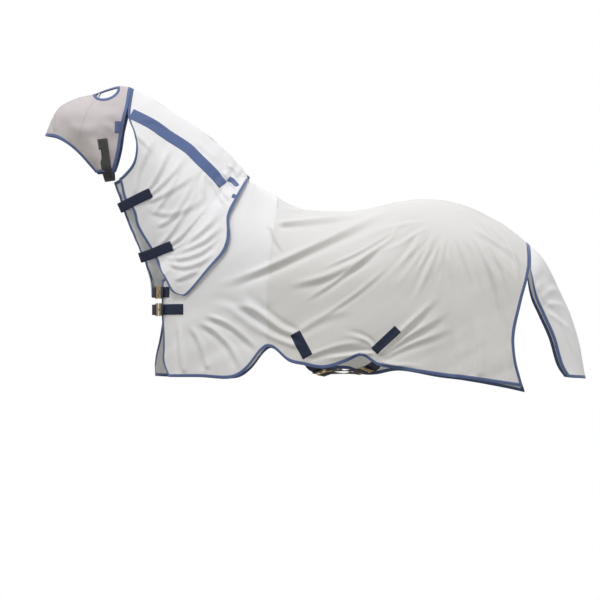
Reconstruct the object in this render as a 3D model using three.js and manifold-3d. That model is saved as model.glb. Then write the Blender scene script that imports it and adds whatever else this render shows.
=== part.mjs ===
import * as THREE from "three";
import { mergeVertices } from "three/addons/utils/BufferGeometryUtils.js";
import Module from "manifold-3d";

const wasm = await Module();
wasm.setup();

// Millimetres. The origin is the top of the withers, +X runs to the tail, +Z is up and the near side is -Y.
const CLOTH = 2;
const GAP = 0.35;
const TAPE = { width: 20, under: 0.8, over: 2.8 };
const WEB = { width: 50, thick: 2 };
const BRASS = { length: 30, half: WEB.width / 2 + 5, thick: 2.4, webSlot: WEB.width / 2 + 2, pin: 3 };
const CHEST = { start: -200, length: 245, power: 1.2 };
const STEP = { front: 16, back: 93, arc: 22.5, drop: 125 };

// Half widths and heights of the horse-shaped rug, by distance from the withers.
const TOPLINE = [[-445, -150], [-330, -60], [-200, 0], [-110, 22], [-19, 19], [46, -20], [106, -51], [184, -97],
  [249, -119], [353, -126], [483, -123], [581, -106], [678, -83], [787, -70], [829, -70], [926, -83],
  [1018, -110], [1111, -157], [1187, -200], [1290, -284]];
const HALF_WIDTH = [[-445, 215], [-200, 215], [0, 238], [200, 280], [450, 315], [650, 320], [850, 304],
  [1050, 290], [1200, 250], [1290, 205]];
const WIDEST = [[-445, -540], [-200, -520], [0, -515], [200, -480], [450, -470], [650, -480], [850, -440],
  [1050, -430], [1200, -470], [1290, -500]];
const PEAK = [[-445, 1], [-100, 1.15], [60, 1.3], [300, 1.05], [700, 0.95], [1000, 0.88], [1290, 0.95]];

// Outlines in side view.
const NECKLINE = [[-30, 30], [-62, -24], [-120, -100], [-200, -200], [-290, -318], [-370, -418], [-440, -462],
  [-520, -474]];
const NEAR_HEM = [[-520, -880], [-410, -893], [-232, -895], [-75, -899], [-17, -863], [54, -775], [80, -759],
  [113, -766], [184, -824], [249, -840], [341, -855], [447, -824], [512, -797], [552, -818], [589, -842],
  [682, -858], [880, -889], [992, -902], [1239, -938]];
const OFF_HEM = [[-520, -880], [-410, -893], [-232, -895], [-75, -899], [-17, -863], [54, -775], [80, -759],
  [113, -766], [184, -824], [249, -842], [341, -858], [447, -860], [520, -884], [577, -884], [682, -866],
  [880, -898], [992, -912], [1200, -950], [1272, -966]];
const NEAR_REAR = [[1245, -938], [1212, -800], [1210, -700], [1245, -545], [1281, -402], [1284, -272]];
const OFF_REAR = [[1278, -966], [1240, -840], [1222, -700], [1245, -545], [1281, -402], [1284, -272]];
const SHOULDER_SEAM = [[132, 60], [123, -115], [100, -270], [87, -402], [82, -560], [83, -753], [83, -1100]];
// Front edges seen from the front, as distance across and height.
const NEAR_FRONT = [[-98, 300], [-98, -480], [-96, -600], [-104, -720], [-108, -830], [-140, -893], [-190, -1000]];
const OFF_FRONT = [[-86, 300], [-86, -480], [-84, -609], [-48, -740], [2, -835], [48, -893], [100, -1000]];

const CREST = [[-562, 450], [-478, 410], [-358, 330], [-223, 243], [-103, 139], [-50, 80], [-8, 33]];
const THROAT = [[-640, 10], [-600, -110], [-560, -215], [-515, -310], [-484, -400], [-470, -460], [-466, -524]];
const FACE = [[-562, 450], [-569, 314], [-541, 235], [-530, 171], [-545, 99], [-593, 43], [-640, 10]];
const SHOULDER = [[-8, 33], [-35, -25], [-63, -84], [-95, -160], [-91, -252], [-111, -315], [-183, -399],
  [-263, -491], [-302, -523], [-380, -526], [-466, -524]];
const NEAR_THROAT = [[-609, 12], [-589, -69], [-550, -120], [-530, -196], [-478, -284], [-442, -347],
  [-422, -395], [-382, -459], [-350, -507], [-302, -523]];
const NECK_WIDTH = [[0, 92], [0.35, 100], [0.7, 128], [1, 150]];
const BAND = [[-556, 326], [-470, 282], [-390, 228], [-294, 165], [-225, 98], [-167, 40], [-127, -6]];
const BAND_WIDTH = 52;
const COVER_CLEAR = 11;

const BROW = [[-562.2, 452.6], [-612, 461], [-675, 445], [-732, 424], [-817, 403], [-897, 361], [-930, 310], [-963, 228]];
const JAW = [[-637, 63], [-680, 56], [-722, 52]];
const POLL = [[-562.2, 452.6], [-572, 361], [-594, 270], [-610, 164], [-626, 95], [-637, 63]];
const NOSE = [[-963, 228], [-913, 220], [-860, 191], [-785, 127], [-722, 52]];
const MASK_WIDTH = [[0, 84], [0.35, 104], [0.6, 116], [1, 80]];
const EAR = { x: -676, z: 436, long: 54, high: 36, tilt: 0.3, apart: 16 };

const FLAP_BACK = [[1285.4, -280], [1349, -350], [1446, -532], [1511, -720], [1547, -902]];
const FLAP_EDGE = [[1285.4, -404], [1307, -525], [1343, -610], [1388, -713], [1427, -844], [1460, -895]];
const FLAP_WIDTH = [[0, 184], [0.3, 172], [0.6, 158], [1, 140]];

const FRONT_PATCH = [[210, -694], [269, -802]];
const REAR_PATCH = [[678, -676], [572, -776]];
const PATCH_WIDTH = { front: 50, rear: 40 };
const CHEST_STRAP = { upper: -504, lower: -584, across: -92, nearEnd: { upper: -372, lower: -305 } };
const UPPER_TAB = [[-468, -44], [-520, -67], [-571, -90]];
const LOWER_TAB = [[-366, -289], [-414, -306], [-462, -324]];
const MASK_STRAP = [[-686, 205], [-677, 130], [-668, 66]];

const COLOUR = {
  cloth: new THREE.MeshStandardMaterial({ color: 0xe9eaed, roughness: 0.75, metalness: 0 }),
  smooth: new THREE.MeshStandardMaterial({ color: 0xf2f2f5, roughness: 0.6, metalness: 0 }),
  mesh: new THREE.MeshStandardMaterial({ color: 0xc9c3ca, roughness: 0.85, metalness: 0 }),
  tape: new THREE.MeshStandardMaterial({ color: 0x4a5f92, roughness: 0.8, metalness: 0 }),
  webbing: new THREE.MeshStandardMaterial({ color: 0x151d3a, roughness: 0.85, metalness: 0 }),
  charcoal: new THREE.MeshStandardMaterial({ color: 0x3c3c40, roughness: 0.9, metalness: 0 }),
  brass: new THREE.MeshStandardMaterial({ color: 0xc8aa6e, roughness: 0.35, metalness: 1 }),
};

const group = new THREE.Group();
group.name = "fly_sheet";
const rug = new THREE.Group();
const neck = new THREE.Group();
const mask = new THREE.Group();
group.add(rug, neck, mask);

function along(table, x) {
  let i = 0;
  while (i < table.length - 2 && x > table[i + 1][0]) i += 1;
  const [x0, y0] = table[i];
  const [x1, y1] = table[i + 1];
  const before = table[Math.max(i - 1, 0)];
  const after = table[Math.min(i + 2, table.length - 1)];
  const span = x1 - x0;
  const t = Math.min(Math.max((x - x0) / span, 0), 1);
  const m0 = i === 0 ? (y1 - y0) / span : (y1 - before[1]) / (x1 - before[0]);
  const m1 = i === table.length - 2 ? (y1 - y0) / span : (after[1] - y0) / (after[0] - x0);
  const a = (1 + 2 * t) * (1 - t) ** 2 * y0 + t * (1 - t) ** 2 * span * m0;
  return a + t * t * (3 - 2 * t) * y1 + t * t * (t - 1) * span * m1;
}

function curve(points) {
  return new THREE.CatmullRomCurve3(points.map(([x, z]) => new THREE.Vector3(x, 0, z)), false, "centripetal");
}

function smooth(points, steps) {
  return curve(points).getSpacedPoints(steps).map((p) => [p.x, p.z]);
}

function fromGeometry(geometry) {
  const g = geometry.clone();
  g.deleteAttribute("normal");
  g.deleteAttribute("uv");
  const m = mergeVertices(g, 1e-4);
  return new wasm.Manifold(new wasm.Mesh({
    numProp: 3,
    vertProperties: new Float32Array(m.attributes.position.array),
    triVerts: new Uint32Array(m.index.array),
  }));
}

function toGeometry(solid) {
  const m = solid.getMesh();
  const g = new THREE.BufferGeometry();
  const xyz = new Float32Array(m.numVert * 3);
  for (let i = 0; i < m.numVert; i += 1) {
    for (let k = 0; k < 3; k += 1) xyz[i * 3 + k] = m.vertProperties[i * m.numProp + k];
  }
  g.setAttribute("position", new THREE.BufferAttribute(xyz, 3));
  g.setIndex(new THREE.BufferAttribute(new Uint32Array(m.triVerts), 1));
  g.computeVertexNormals();
  return g;
}

function biggest(solid) {
  const parts = solid.decompose().sort((a, b) => b.volume() - a.volume());
  return parts[0];
}

function add(name, solid, material, parent) {
  const mesh = new THREE.Mesh(toGeometry(biggest(solid.simplify(0.01))), material);
  mesh.name = name;
  parent.add(mesh);
  return mesh;
}

// A grid of points with a normal each, as rows of columns.
function sheetGrid(columns, rows, at) {
  const points = columns.map((u) => rows.map((v) => at(u, v)));
  const normals = columns.map((u, i) => rows.map((v, j) => {
    const i0 = points[Math.max(i - 1, 0)][j];
    const i1 = points[Math.min(i + 1, columns.length - 1)][j];
    const j0 = points[i][Math.max(j - 1, 0)];
    const j1 = points[i][Math.min(j + 1, rows.length - 1)];
    return new THREE.Vector3().crossVectors(i1.clone().sub(i0), j1.clone().sub(j0)).normalize();
  }));
  return { points, normals };
}

// The closed slab between two offsets of a grid.
function layer(grid, inner, outer) {
  const nu = grid.points.length;
  const nv = grid.points[0].length;
  const xyz = [];
  for (const offset of [inner, outer]) {
    for (let i = 0; i < nu; i += 1) {
      for (let j = 0; j < nv; j += 1) {
        const p = grid.points[i][j].clone().addScaledVector(grid.normals[i][j], offset);
        xyz.push(p.x, p.y, p.z);
      }
    }
  }
  const id = (side, i, j) => side * nu * nv + i * nv + j;
  const faces = [];
  const quad = (a, b, c, d) => faces.push(a, b, c, a, c, d);
  for (let i = 0; i < nu - 1; i += 1) {
    for (let j = 0; j < nv - 1; j += 1) {
      quad(id(1, i, j), id(1, i + 1, j), id(1, i + 1, j + 1), id(1, i, j + 1));
      quad(id(0, i, j), id(0, i, j + 1), id(0, i + 1, j + 1), id(0, i + 1, j));
    }
  }
  for (let i = 0; i < nu - 1; i += 1) {
    quad(id(0, i, 0), id(0, i + 1, 0), id(1, i + 1, 0), id(1, i, 0));
    quad(id(0, i, nv - 1), id(1, i, nv - 1), id(1, i + 1, nv - 1), id(0, i + 1, nv - 1));
  }
  for (let j = 0; j < nv - 1; j += 1) {
    quad(id(0, 0, j), id(1, 0, j), id(1, 0, j + 1), id(0, 0, j + 1));
    quad(id(0, nu - 1, j), id(0, nu - 1, j + 1), id(1, nu - 1, j + 1), id(1, nu - 1, j));
  }
  const solid = new wasm.Manifold(new wasm.Mesh({
    numProp: 3,
    vertProperties: new Float32Array(xyz),
    triVerts: new Uint32Array(faces),
  }));
  return solid;
}

// Prisms: a side-view region along Y, and a front-view region along X.
function region(points) {
  const area = points.reduce((sum, [x, y], i) => {
    const [a, b] = points[(i + 1) % points.length];
    return sum + x * b - a * y;
  }, 0);
  return new wasm.CrossSection([area > 0 ? points : points.slice().reverse()]);
}

function prismY(section, y0 = -700, y1 = 700) {
  return section.extrude(y1 - y0).rotate([90, 0, 0]).translate([0, y1, 0]);
}

function prismX(section) {
  return section.extrude(2400).rotate([90, 0, 90]).translate([-700, 0, 0]);
}

function behind(x) {
  return wasm.Manifold.cube([4000, 4000, 4000], true).translate([2000 + x, 0, 0]);
}

function inset(section, distance) {
  return section.offset(-distance, "Round", 2, 24);
}

function strip(points, width, steps) {
  const line = smooth(points, steps);
  const left = [];
  const right = [];
  line.forEach(([x, z], i) => {
    const [ax, az] = line[Math.max(i - 1, 0)];
    const [bx, bz] = line[Math.min(i + 1, line.length - 1)];
    const length = Math.hypot(bx - ax, bz - az);
    const nx = -(bz - az) / length;
    const nz = (bx - ax) / length;
    left.push([x + nx * width / 2, z + nz * width / 2]);
    right.unshift([x - nx * width / 2, z - nz * width / 2]);
  });
  return region([...left, ...right]);
}

function halfSpace(sign, distance) {
  const size = 4000;
  return wasm.Manifold.cube([size, size, size], true).translate([0, sign * (size / 2 + distance), 0]);
}

const mirror = (solid) => solid.mirror([0, 1, 0]);
const NEAR = halfSpace(-1, GAP);

// The rug surface.
function rugHalf(x, z) {
  const top = along(TOPLINE, x);
  const widest = along(WIDEST, x);
  const s = Math.min(Math.max((z - widest) / (top - widest), 0), 1);
  const turn = Math.min(Math.max((CHEST.start - x) / CHEST.length, 0), 1);
  const round = Math.max(1 - turn * turn, 0) ** (CHEST.power / 2);
  return along(HALF_WIDTH, x) * round * (1 - s * s) ** (along(PEAK, x) / 2);
}

function rugPoint(station, row) {
  const rad = Math.PI / 180;
  const front = station < 90;
  const x = front ? CHEST.start - CHEST.length * Math.cos(station * rad) : station - 90 + CHEST.start;
  const top = along(TOPLINE, x);
  const widest = along(WIDEST, x);
  const peak = along(PEAK, x);
  const turn = front ? Math.sign(station) * Math.abs(Math.sin(station * rad)) ** CHEST.power : 1;
  const across = along(HALF_WIDTH, x) * turn;
  if (row <= 90) {
    const t = row * rad;
    return new THREE.Vector3(x, -across * Math.sin(t) ** peak, widest + (top - widest) * Math.cos(t));
  }
  const drop = (row - 90) / 500;
  return new THREE.Vector3(x, -across * (1 + 0.02 * drop), widest + (-1010 - widest) * drop);
}

const rugColumns = [];
for (let a = -32; a < 90; a += STEP.front) rugColumns.push(a);
for (let x = 90; x <= 90 + 1290 - CHEST.start; x += STEP.back) rugColumns.push(x);
rugColumns.push(90 + 1292 - CHEST.start);
const rugRows = [];
for (let t = 0; t <= 90; t += STEP.arc) rugRows.push(t);
for (let d = STEP.drop; d <= 500; d += STEP.drop) rugRows.push(90 + d);
const rugGrid = sheetGrid(rugColumns, rugRows.reverse(), rugPoint);

function rugOutline(hem, rear) {
  const down = smooth(NECKLINE, 10);
  return region([[-30, 300], ...down, ...smooth(hem, 38), ...smooth(rear, 9), [1284, 300]]);
}

function frontRegion(edge) {
  return region([[-800, 300], ...smooth(edge, 16), [-800, -1000]]);
}

function frontRegionOff(edge) {
  return region([...smooth(edge, 16).map(([y, z]) => [-y, z]), [-800, -1000], [-800, 300]]);
}

function rugSide(outline, front, shoulderCut) {
  const inner = inset(outline, TAPE.width);
  const innerFront = inset(front, TAPE.width);
  const past = behind(-300);
  const whole = prismY(outline).intersect(prismX(front).add(past)).intersect(NEAR);
  const hole = prismY(inner).intersect(prismX(innerFront).add(past));
  const cutFront = prismX(inset(front, TAPE.width + GAP)).add(past);
  const cut = prismY(inset(outline, TAPE.width + GAP)).intersect(cutFront);
  const cloth = layer(rugGrid, 0, CLOTH).intersect(cut).intersect(NEAR);
  return {
    binding: layer(rugGrid, -TAPE.under, TAPE.over).intersect(whole).subtract(hole),
    shoulder: cloth.intersect(prismY(shoulderCut)),
    body: cloth.subtract(prismY(shoulderCut.offset(GAP, "Round", 2, 24))),
  };
}

const seam = region([[-900, 60], ...smooth(SHOULDER_SEAM, 12), [-900, -1100]]);
const nearRug = rugSide(rugOutline(NEAR_HEM, NEAR_REAR), frontRegion(NEAR_FRONT), seam);
const offRug = rugSide(rugOutline(OFF_HEM, OFF_REAR), frontRegionOff(OFF_FRONT), seam);
add("near_shoulder_panel", nearRug.shoulder, COLOUR.smooth, rug);
add("off_shoulder_panel", mirror(offRug.shoulder), COLOUR.smooth, rug);
add("near_body_panel", nearRug.body, COLOUR.cloth, rug);
add("off_body_panel", mirror(offRug.body), COLOUR.cloth, rug);
add("near_rug_binding", nearRug.binding, COLOUR.tape, rug);
add("off_rug_binding", mirror(offRug.binding), COLOUR.tape, rug);

// The neck cover.
function rounded(points) {
  const c = curve(points);
  c.arcLengthDivisions = 120;
  return (t) => {
    const p = c.getPointAt(t);
    return [p.x, p.z];
  };
}

function patch(top, bottom, start, end) {
  const [a, b, c, d] = [top, bottom, start, end].map(rounded);
  const [c00, c10, c01, c11] = [a(0), a(1), b(0), b(1)];
  return (u, v) => [0, 1].map((k) => (1 - v) * a(u)[k] + v * b(u)[k] + (1 - u) * c(v)[k] + u * d(v)[k]
    - ((1 - u) * (1 - v) * c00[k] + u * (1 - v) * c10[k] + (1 - u) * v * c01[k] + u * v * c11[k]));
}

const neckSide = patch(CREST, THROAT, FACE, SHOULDER);

function neckPoint(u, v) {
  const [x, z] = neckSide(u, v);
  const oval = along(NECK_WIDTH, u) * Math.sin(Math.PI * Math.min(v, 1)) ** 0.8;
  const below = x < -30 ? along(NECKLINE.slice().reverse(), x) - z : 60;
  const over = Math.min(Math.max((below + 90) / 75, 0), 1);
  const cover = rugHalf(x + COVER_CLEAR, z - COVER_CLEAR) + COVER_CLEAR;
  return new THREE.Vector3(x, -(oval + Math.max(cover - oval, 0) * over * over * (3 - 2 * over)), z);
}

const neckColumns = [0, 0.14, 0.28, 0.42, 0.55, 0.66, 0.75, 0.83, 0.9, 0.95, 1];
const neckRows = [0, 0.06, 0.15, 0.27, 0.4, 0.53, 0.66, 0.78, 0.88, 0.95, 1];
const neckGrid = sheetGrid(neckColumns, neckRows.reverse(), neckPoint);
const face = smooth(FACE, 12);
const shoulder = smooth(SHOULDER, 16);
const crestLine = smooth(CREST, 12).map(([x, z]) => [x + 60, z + 80]);
const nearNeck = region([...crestLine.reverse(), ...face.slice(0, 12), ...smooth(NEAR_THROAT, 15),
  ...shoulder.slice(0, 12).reverse()]);
const offNeck = region([...crestLine, ...face, ...smooth(THROAT, 12), ...shoulder.slice().reverse()]);

const rugShape = rugOutline(NEAR_HEM, NEAR_REAR);
const edgeOf = (shape) => prismY(inset(shape, -3)).subtract(prismY(inset(shape, TAPE.width + 3)));
const rugEdge = edgeOf(rugShape);
const offEdge = edgeOf(rugOutline(OFF_HEM, OFF_REAR));
const rugKeep = layer(rugGrid, -25, CLOTH + GAP).intersect(prismY(inset(rugShape, -3)))
  .add(layer(rugGrid, -25, TAPE.over + GAP).intersect(rugEdge));

function neckParts(outline) {
  const cloth = layer(neckGrid, 0, CLOTH).intersect(prismY(inset(outline, TAPE.width + GAP))).intersect(NEAR);
  const strips = prismY(outline).subtract(prismY(inset(outline, TAPE.width)));
  const lower = block(-330, 0, -400, -GAP, -560, -45);
  const rest = layer(neckGrid, -COVER_CLEAR - 7, 0).intersect(strips).intersect(lower);
  const binding = layer(neckGrid, -TAPE.under, TAPE.over).intersect(strips).intersect(NEAR).add(rest);
  return { cloth: cloth.subtract(rugKeep), binding: binding.subtract(rugKeep) };
}

const nearCover = neckParts(nearNeck);
const offCover = neckParts(offNeck);
add("near_neck_panel", nearCover.cloth, COLOUR.cloth, neck);
add("off_neck_panel", mirror(offCover.cloth), COLOUR.cloth, neck);
add("near_neck_binding", nearCover.binding, COLOUR.tape, neck);
add("off_neck_binding", mirror(offCover.binding), COLOUR.tape, neck);
const band = layer(neckGrid, CLOTH + GAP, CLOTH + 1.6).intersect(prismY(strip(BAND, BAND_WIDTH, 14)))
  .subtract(prismY(nearNeck.subtract(inset(nearNeck, TAPE.width + GAP))));
add("near_neck_band", band, COLOUR.tape, neck);
add("off_neck_band", mirror(band), COLOUR.tape, neck);

// The fly mask.
const maskSide = patch(BROW, JAW, POLL, NOSE);

function maskPoint(u, w) {
  const v = Math.abs(w);
  const [x, z] = maskSide(u, v);
  const half = along(MASK_WIDTH, u) * Math.sin(Math.min(v * 2.1, 1) * Math.PI / 2) ** 0.7 * (1 - 0.28 * v * v);
  return new THREE.Vector3(x, Math.sign(w) * half, z);
}

const maskRows = [0, 0.05, 0.13, 0.24, 0.38, 0.55, 0.77, 1];
const maskGrid = sheetGrid(Array.from({ length: 10 }, (_, i) => i / 9),
  [...maskRows.slice(1).map((v) => -v).reverse(), ...maskRows], (u, w) => maskPoint(1 - u, w));
const maskOutline = region([[-560, 560], ...smooth(POLL, 14), ...smooth(JAW, 3).slice(1),
  ...smooth(NOSE, 12).reverse().slice(1), [-1010, 300], [-960, 420], [-760, 560]]);

function earPrism(grow, apart) {
  const oval = wasm.CrossSection.circle(1, 28).scale([EAR.long + grow, EAR.high + grow]);
  const placed = oval.rotate(EAR.tilt * 180 / Math.PI).translate([EAR.x, EAR.z]);
  return prismY(placed, -300, -apart).add(prismY(placed, apart, 300));
}

const maskInner = inset(maskOutline, TAPE.width);
const maskCloth = layer(maskGrid, 0, CLOTH).intersect(prismY(inset(maskOutline, TAPE.width + GAP)))
  .subtract(earPrism(12 + GAP, EAR.apart - 12 - GAP));
add("near_mask_panel", maskCloth.intersect(NEAR), COLOUR.mesh, mask);
add("off_mask_panel", maskCloth.intersect(mirror(NEAR)), COLOUR.mesh, mask);
const maskTape = layer(maskGrid, -TAPE.under, TAPE.over);
add("mask_binding", maskTape.intersect(prismY(maskOutline).subtract(prismY(maskInner)))
  .subtract(earPrism(12 + GAP, EAR.apart - 12 - GAP)), COLOUR.tape, mask);
const earRing = maskTape.intersect(earPrism(12, EAR.apart - 12)).subtract(earPrism(0, EAR.apart))
  .intersect(prismY(inset(maskOutline, TAPE.width + GAP)));
add("near_ear_binding", earRing.intersect(NEAR), COLOUR.tape, mask);
add("off_ear_binding", earRing.intersect(mirror(NEAR)), COLOUR.tape, mask);

// The tail flap.
function flapPoint(v, w) {
  const back = rounded(FLAP_BACK)(v);
  const edge = rounded(FLAP_EDGE)(v);
  const turn = 1 - Math.cos(Math.abs(w) * Math.PI / 2);
  const hang = Math.min(v / 0.36, 1);
  const open = along(FLAP_WIDTH, v) * Math.sin(Math.abs(w) * Math.PI / 2);
  const z = back[1] + (edge[1] - back[1]) * turn;
  const wide = rugHalf(1284, Math.max(z, -480)) * (1 - hang) + open * hang;
  return new THREE.Vector3(back[0] + (edge[0] - back[0]) * turn, Math.sign(w) * wide, z);
}

const flapRows = [0, 0.025, 0.18, 0.36, 0.54, 0.74, 0.965, 1];
const across = [0.2, 0.4, 0.6, 0.78, 0.875, 1];
const flapBoth = (list) => [...list.map((w) => -w).reverse(), 0, ...list];
const flapPatch = (rows, list) => sheetGrid(rows, flapBoth(list), (v, w) => flapPoint(v, w));
const flapWide = layer(flapPatch(flapRows, across), -TAPE.under, TAPE.over);
const flapHole = layer(flapPatch(flapRows.slice(1, 7), across.slice(0, 5)), -4, 6);
const flapInner = [0.0275, ...flapRows.slice(2, 6), 0.9625];
const flapCloth = layer(flapPatch(flapInner, [...across.slice(0, 4), 0.8675]), 0, CLOTH);
add("tail_flap_binding", flapWide.subtract(flapHole), COLOUR.tape, rug);
add("tail_flap_panel", flapCloth, COLOUR.cloth, rug);

// Webbing patches over the ends of the belly straps.
function patchOn(line, width) {
  return layer(rugGrid, CLOTH + GAP, CLOTH + GAP + 1.6).intersect(prismY(strip(line, width, 3)));
}

const frontPatch = patchOn(FRONT_PATCH, PATCH_WIDTH.front);
const rearPatch = patchOn(REAR_PATCH, PATCH_WIDTH.rear);
add("near_front_patch", frontPatch, COLOUR.webbing, rug);
add("off_front_patch", mirror(frontPatch), COLOUR.webbing, rug);
add("near_rear_patch", rearPatch, COLOUR.webbing, rug);
add("off_rear_patch", mirror(rearPatch), COLOUR.webbing, rug);

function block(x0, x1, y0, y1, z0, z1) {
  return wasm.Manifold.cube([x1 - x0, y1 - y0, z1 - z0]).translate([x0, y0, z0]);
}

// Fittings in their own frame: x runs along the strap to the off side, z points away from the horse.
const frame = (origin, x, z) => {
  const y = new THREE.Vector3().crossVectors(z, x).normalize();
  const xx = new THREE.Vector3().crossVectors(y, z).normalize();
  return new THREE.Matrix4().makeBasis(xx, y, z.clone().normalize()).setPosition(origin);
};
const placed = (solid, matrix) => solid.transform(matrix.elements);
const half = WEB.width / 2;

function keeper() {
  const plate = block(-BRASS.length, 0, -BRASS.half, BRASS.half, 0, BRASS.thick);
  return plate.subtract(block(-26, -20, -BRASS.webSlot, BRASS.webSlot, -1, 4))
    .subtract(block(-15, -5, -4.5, 4.5, -1, 4));
}

function hook() {
  const z = 2.8;
  const plate = block(4, 4 + BRASS.length - 4, -BRASS.half, BRASS.half, z, z + BRASS.thick)
    .subtract(block(19, 25, -BRASS.webSlot, BRASS.webSlot, 0, 9));
  return plate.add(block(-11.5, 5, -5.5, 5.5, z, z + BRASS.thick))
    .add(block(-11.5, -8.5, -BRASS.pin, BRASS.pin, -2.4, z + 1))
    .add(block(-11.5, -8.5, -9, 9, -2.4, -0.4));
}

function nearLoop(length, depth) {
  return block(-length, -23.9, -half, half, -2.8, -1).add(block(-24.9, -22.9, -half, half, -2.8, 4.8))
    .add(block(-length, -22.9, -half, half, 3, 4.8)).add(block(-length, -34, -half, half, depth, 4.8));
}

function offLoop(length, depth) {
  return block(21.1, length, -half, half, 0.4, 2.2).add(block(21.1, 23.1, -half, half, 0.4, 7.4))
    .add(block(21.1, length, -half, half, 5.6, 7.4)).add(block(33, length, -half, half, depth, 7.4));
}

// The chest straps.
for (const level of ["upper", "lower"]) {
  const z = CHEST_STRAP[level];
  const angle = 27.5;
  const foot = rugPoint(angle, 100);
  const tangent = rugPoint(angle - 3, 100).sub(rugPoint(angle + 3, 100)).setZ(0).normalize();
  const out = new THREE.Vector3(0, 0, 1).cross(tangent).normalize();
  const at = frame(new THREE.Vector3(foot.x, foot.y, z).addScaledVector(out, 7.6), tangent, out);
  const box = (x0, x1, y0, y1) => block(x0, x1, y0, y1, z - half, z + half);
  const over = layer(rugGrid, TAPE.over + GAP, TAPE.over + GAP + 1.8);
  const clear = layer(rugGrid, -30, TAPE.over + GAP);
  const nearPart = over.intersect(box(-500, CHEST_STRAP.nearEnd[level], -300, CHEST_STRAP.across - 12));
  const nearEnd = placed(nearLoop(52, -14), at).subtract(clear);
  add(`near_${level}_chest_strap`, nearPart.add(nearEnd), COLOUR.webbing, rug);
  add(`${level}_chest_keeper`, placed(keeper(), at), COLOUR.brass, rug);
  add(`${level}_chest_hook`, placed(hook(), at), COLOUR.brass, rug);
  const low = layer(rugGrid, CLOTH + GAP, CLOTH + GAP + 1.8);
  const offPart = mirror(low).intersect(box(-500, -360, -64, 60));
  const offEnd = placed(offLoop(60, -14), at).subtract(mirror(clear));
  add(`off_${level}_chest_strap`, offPart.add(offEnd), COLOUR.webbing, rug);
}

// A ribbon along a path, from the two offsets of its centre line.
function ribbon(points, outward, width, inner, outer) {
  const rows = points.map((p, i) => {
    const before = points[Math.max(i - 1, 0)];
    const after = points[Math.min(i + 1, points.length - 1)];
    const run = after.clone().sub(before).normalize();
    const side = new THREE.Vector3().crossVectors(run, outward[i]).normalize();
    const up = new THREE.Vector3().crossVectors(side, run).normalize();
    return { p, side, up };
  });
  const grid = {
    points: rows.map(({ p, side }) => [1, -1].map((k) => p.clone().addScaledVector(side, k * width / 2))),
    normals: rows.map(({ up }) => [up, up]),
  };
  const solid = layer(grid, inner, outer);
  return solid;
}

// The belly straps, each from the near side under the belly to the other end of the off side.
function bellyStrap(name, nearX, offX, depth) {
  const near = -(rugHalf(nearX, -790) - 3);
  const off = rugHalf(offX, -800) - 3;
  const shell = layer(rugGrid, -GAP, 60);
  const deep = layer(rugGrid, -TAPE.under - GAP, 60);
  const outside = shell.add(deep.intersect(rugEdge)).add(mirror(shell.add(deep.intersect(offEdge))));
  const path = new THREE.CatmullRomCurve3([
    new THREE.Vector3(nearX, near, -778),
    new THREE.Vector3(nearX + (offX - nearX) * 0.02, near + 6, -815),
    new THREE.Vector3(nearX + (offX - nearX) * 0.1, near + 60, depth + 24),
    new THREE.Vector3((nearX + offX) / 2, 0, depth),
    new THREE.Vector3(nearX + (offX - nearX) * 0.9, off - 60, depth + 24),
    new THREE.Vector3(nearX + (offX - nearX) * 0.98, off - 6, -815),
    new THREE.Vector3(offX, off, -778),
  ], false, "centripetal");
  const length = path.getLength();
  const part = (from, to, steps, lift = 0.9) => {
    const points = [];
    const outward = [];
    for (let i = 0; i <= steps; i += 1) {
      const t = (from + (to - from) * i / steps) / length;
      const p = path.getPointAt(t);
      points.push(p);
      outward.push(new THREE.Vector3(0, p.y, (p.z + 560) * 0.8).normalize());
    }
    return ribbon(points, outward, WEB.width, -0.9, lift).subtract(outside);
  };
  const join = 178;
  const middle = path.getPointAt(join / length);
  const run = path.getTangentAt(join / length);
  const out = new THREE.Vector3(0, middle.y, (middle.z + 560) * 0.8);
  out.addScaledVector(run, -out.dot(run)).normalize();
  const at = frame(middle.clone().addScaledVector(out, 1.9), run, out);
  add(`near_${name}_belly_strap`, part(0, join - 40, 6).add(part(0, 50, 3, 7)).add(placed(nearLoop(46, -2.8), at)), COLOUR.webbing, rug);
  add(`${name}_belly_keeper`, placed(keeper(), at), COLOUR.brass, rug);
  add(`${name}_belly_hook`, placed(hook(), at), COLOUR.brass, rug);
  const strap = part(join + 44, length, 22).add(part(length - 50, length, 3, 7)).add(placed(offLoop(60, -2.8), at));
  add(`${name}_belly_strap`, strap, COLOUR.webbing, rug);
  const spot = length * 0.62;
  const centre = path.getPointAt(spot / length);
  const way = path.getTangentAt(spot / length);
  const down = new THREE.Vector3(0, centre.y, (centre.z + 560) * 0.8);
  down.addScaledVector(way, -down.dot(way)).normalize();
  const bars = block(-9, 9, -BRASS.half, BRASS.half, -3.4, 3.4)
    .subtract(block(-12, 12, -half - 1, half + 1, -2, 2));
  const slider = bars.subtract(block(-5, 5, 4 - half, half - 4, -4, 4));
  add(`${name}_belly_slider`, placed(slider, frame(centre, way, down)), COLOUR.brass, rug);
}

bellyStrap("front", 262, 596, -880);
bellyStrap("rear", 600, 262, -868);

// Hook-and-loop tabs: the pad on the near side, and the tab that comes round from the off side.
function skinAt(solid, x, z) {
  return solid.intersect(block(x - 2, x + 2, -400, -0.5, z - 2, z + 2)).boundingBox().min[1];
}

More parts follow.
